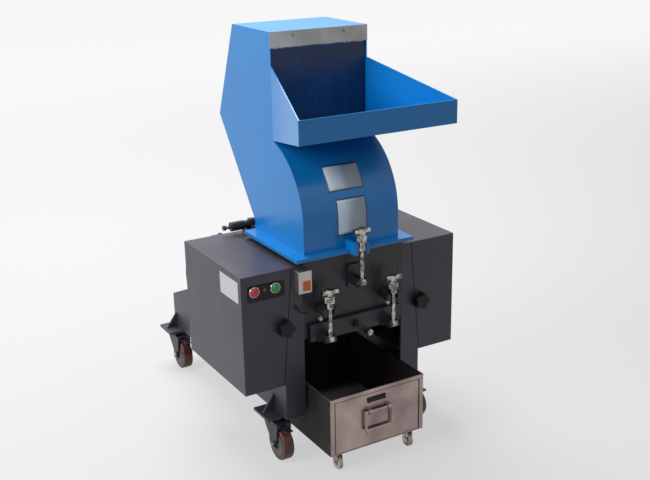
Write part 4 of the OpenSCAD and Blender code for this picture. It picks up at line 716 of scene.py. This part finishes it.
# Signal lamp between the buttons, and the limit switch's lid: moulded polycarbonate, deep red on
# the lamp and orange on the lid. Four matt screws and a raised band stand on the switch's cover,
# and a black gland in its foot holds the cable.
for name, hue, body, slot in (("signal_lamp", "#8E2A24", "guard_left_body", "red_plastic"),
                              ("switch_lid", "#D8641C", "machine", "red_plastic")):
    lens, tree = new_material(name + "_polycarbonate")
    place = add(tree, "ShaderNodeTexCoord")
    flow = add(tree, "ShaderNodeTexNoise", {"Vector": place.outputs["Object"], "Scale": grain_of(6.6)})
    shine = add(tree, "ShaderNodeMapRange", {"Value": flow.outputs[0], "To Min": 0.2, "To Max": 0.35})
    skin = add(tree, "ShaderNodeBsdfPrincipled", {"Base Color": colour(hue), "Roughness": shine.outputs[0]})
    add(tree, "ShaderNodeOutputMaterial", {"Surface": skin.outputs[0]})
    work = bmesh.new()
    if name == "signal_lamp":
        put_turned(work, [(4.6, 0), (4.6, 1.6), (3.8, 2.9), (2.2, 3.7), (0.6, 4)],
                   axis_at(-281, -1.8, 547, "-Y"), 24)
    else:
        put_box(work, (-176, -27.4, 527), (-153, -24.6, 555))
    round_edges(finish_piece(name, mesh_from(work, name), lens, body), 0.0006)
switch_face = -24.9
work = bmesh.new()
for x in (-185, -152):
    for z in (524.5, 578.5):
        put_turned(work, [(2.6, 0), (2.6, 0.9), (1.9, 1.4)], axis_at(x, switch_face, z, "-Y"), 16)
put_box(work, (-186.5, switch_face - 1, 560), (-150.5, switch_face + 0.1, 574))
screws = finish_piece("switch_screws", mesh_from(work, "switch_screws"), cast_aluminium, "machine")
round_edges(screws, 0.0003)
gland_seat = axis_at(-162, -12, 513.5, "Z")
work = bmesh.new()
put_turned(work, [(6.5, 0), (6.5, 7)], gland_seat, 6)
put_turned(work, [(4.6, -4), (5.4, 0.5)], gland_seat, 20)
finish_piece("switch_gland", mesh_from(work, "switch_gland"), black_abs, "machine")

# Curtain: a dark navy rubber sheet on a top rod, cut into six strips that hang inside the mouth
# and keep chips from flying out. Bloom in broad patches makes its shine uneven.
navy_rubber, tree = new_material("navy_rubber_sheet")
place = add(tree, "ShaderNodeTexCoord")
sheen_and_dirt_patches = add(tree, "ShaderNodeTexNoise", {"Vector": place.outputs["Object"], "Scale": grain_of(83),
                                         "Detail": 5.0})
tint = add(tree, "ShaderNodeValToRGB", {"Fac": sheen_and_dirt_patches.outputs[0]})
tint.color_ramp.elements[0].position, tint.color_ramp.elements[0].color = 0.3, colour("#04203F")
tint.color_ramp.elements[1].position, tint.color_ramp.elements[1].color = 0.75, colour("#082C54")
shine = add(tree, "ShaderNodeMapRange", {"Value": sheen_and_dirt_patches.outputs[0], "To Min": 0.2, "To Max": 0.4})
skin = add(tree, "ShaderNodeBsdfPrincipled", {"Base Color": tint.outputs[0], "Roughness": shine.outputs[0]})
add(tree, "ShaderNodeOutputMaterial", {"Surface": skin.outputs[0]})
curtain_left, curtain_y, curtain_thickness, strip_width, strip_pitch = -148, 170, 3, 49, 49.4
work = bmesh.new()
put_box(work, (curtain_left, curtain_y - curtain_thickness / 2, 917),
        (curtain_left + strip_width, curtain_y + curtain_thickness / 2, 1156))
strips = repeated("feed_curtain_strips", mesh_from(work, "strip"), navy_rubber, 6, (strip_pitch, 0, 0))
curtain = finish_piece("feed_curtain_strips", strips, None, "curtain")
round_edges(curtain, 0.0002)
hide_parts("feed_curtain")
work = bmesh.new()
put_turned(work, [(2.0, 0), (2.0, -2 * curtain_left)], axis_at(curtain_left, curtain_y, 1154.7, "X"), 16)
finish_piece("curtain_rod", mesh_from(work, "curtain_rod"), zinc_plate, "curtain")

# Wheels of the machine's casters: reddish brown polyurethane cast on, dusty from the floor in
# patches about 25 mm wide.
brown_tread, tree = new_material("red_brown_polyurethane")
place = add(tree, "ShaderNodeTexCoord")
dust = add(tree, "ShaderNodeTexNoise", {"Vector": place.outputs["Object"], "Scale": grain_of(25),
                                        "Detail": 5.0})
tint = add(tree, "ShaderNodeValToRGB", {"Fac": dust.outputs[0]})
tint.color_ramp.elements[0].position, tint.color_ramp.elements[0].color = 0.3, colour("#421F1A")
tint.color_ramp.elements[1].position, tint.color_ramp.elements[1].color = 0.75, colour("#603129")
shine = add(tree, "ShaderNodeMapRange", {"Value": dust.outputs[0], "To Min": 0.3, "To Max": 0.55})
skin = add(tree, "ShaderNodeBsdfPrincipled", {"Base Color": tint.outputs[0], "Roughness": shine.outputs[0]})
add(tree, "ShaderNodeOutputMaterial", {"Surface": skin.outputs[0]})
for corner in caster_places:
    soften("caster_wheel_" + corner, brown_tread, edge=0.004, steps=4)

# Wheel centres: pressed discs with a raised boss, let into both sides of the tread.
for corner, stand in stands.items():
    axle = stand @ Matrix.Translation((0, axle_trail, wheel_radius))
    work = bmesh.new()
    for side in (-1, 1):
        put_turned(work, [(33, 15.2), (33, 16.4), (29, 16.9), (26, 16.2), (15, 16.2), (12, 18.4), (8, 18.6)],
                   axle @ Matrix.Rotation(side * math.pi / 2, 4, "Y"), 48)
    finish_piece("wheel_centre_" + corner, mesh_from(work, "wheel_centre"), grey_iron, "roller_" + corner)

# Bin wheels: moulded cream nylon, slightly yellowed, with a soft shine and flow marks 11 mm wide.
cream_nylon, tree = new_material("cream_moulded_nylon")
place = add(tree, "ShaderNodeTexCoord")
flow = add(tree, "ShaderNodeTexNoise", {"Vector": place.outputs["Object"], "Scale": grain_of(11),
                                        "Detail": 3.0})
tint = add(tree, "ShaderNodeValToRGB", {"Fac": flow.outputs[0]})
tint.color_ramp.elements[0].color, tint.color_ramp.elements[1].color = colour("#BDB29A"), colour("#DCD3BE")
skin = add(tree, "ShaderNodeBsdfPrincipled", {"Base Color": tint.outputs[0], "Roughness": 0.45})
add(tree, "ShaderNodeOutputMaterial", {"Surface": skin.outputs[0]})
for corner in caster_places:
    soften("bin_wheel_" + corner, cream_nylon, edge=0.0025, steps=3)

# Motor: finned aluminium frame with its fan cowl and terminal box, sprayed blue grey. The paint
# has a 3.3 mm peel and has faded in patches.
motor_paint, tree = new_material("blue_grey_motor_paint")
place = add(tree, "ShaderNodeTexCoord")
peel = add(tree, "ShaderNodeTexNoise", {"Vector": place.outputs["Object"], "Scale": grain_of(3.3),
                                        "Detail": 3.0})
patch = add(tree, "ShaderNodeTexNoise", {"Vector": place.outputs["Object"], "Scale": grain_of(110),
                                         "Detail": 4.0})
tint = add(tree, "ShaderNodeValToRGB", {"Fac": patch.outputs[0]})
tint.color_ramp.elements[0].position, tint.color_ramp.elements[0].color = 0.3, colour("#4E5B60")
tint.color_ramp.elements[1].position, tint.color_ramp.elements[1].color = 0.75, colour("#64727A")
dents = add(tree, "ShaderNodeBump", {"Height": peel.outputs[0], "Strength": 0.2, "Distance": 0.0004})
shine = add(tree, "ShaderNodeMapRange", {"Value": peel.outputs[0], "To Min": 0.35, "To Max": 0.5})
skin = add(tree, "ShaderNodeBsdfPrincipled", {"Base Color": tint.outputs[0], "Roughness": shine.outputs[0],
                                             "Normal": dents.outputs[0]})
add(tree, "ShaderNodeOutputMaterial", {"Surface": skin.outputs[0]})
soften("motor_body", motor_paint, edge=0.0015)
motor_y, motor_height, fin_pitch = 495, 416, 9.2
work = bmesh.new()
put_turned(work, [(88, 0), (95, 0.5), (95, 2.0), (88, 2.6)], axis_at(-106, motor_y, motor_height, "X"), 72)
fins = repeated("motor_fins", mesh_from(work, "fin"), motor_paint, 24, (fin_pitch, 0, 0))
finish_piece("motor_fins", fins, None, "machine")
cowl_end = axis_at(179.6, motor_y, motor_height, "X")
work = bmesh.new()
for radius, steps in ((20, 48), (34, 64), (48, 64), (62, 64), (76, 64)):
    put_turned(work, [(radius, 0), (radius + 1, 1.6), (radius + 3, 1.6), (radius + 4, 0)], cowl_end, steps)
finish_piece("fan_grille", mesh_from(work, "fan_grille"), black_abs, "machine")
lid_screw_out = 37
work = bmesh.new()
for x in (-45, 30):
    for y in (motor_y - lid_screw_out, motor_y + lid_screw_out):
        put_turned(work, [(4, 0), (4, 1.6), (3, 2.6)], axis_at(x, y, 535.8, "Z"), 20)
lid_screws = finish_piece("terminal_lid_screws", mesh_from(work, "terminal_lid_screws"), zinc_plate,
                          "machine")
round_edges(lid_screws, 0.0003)
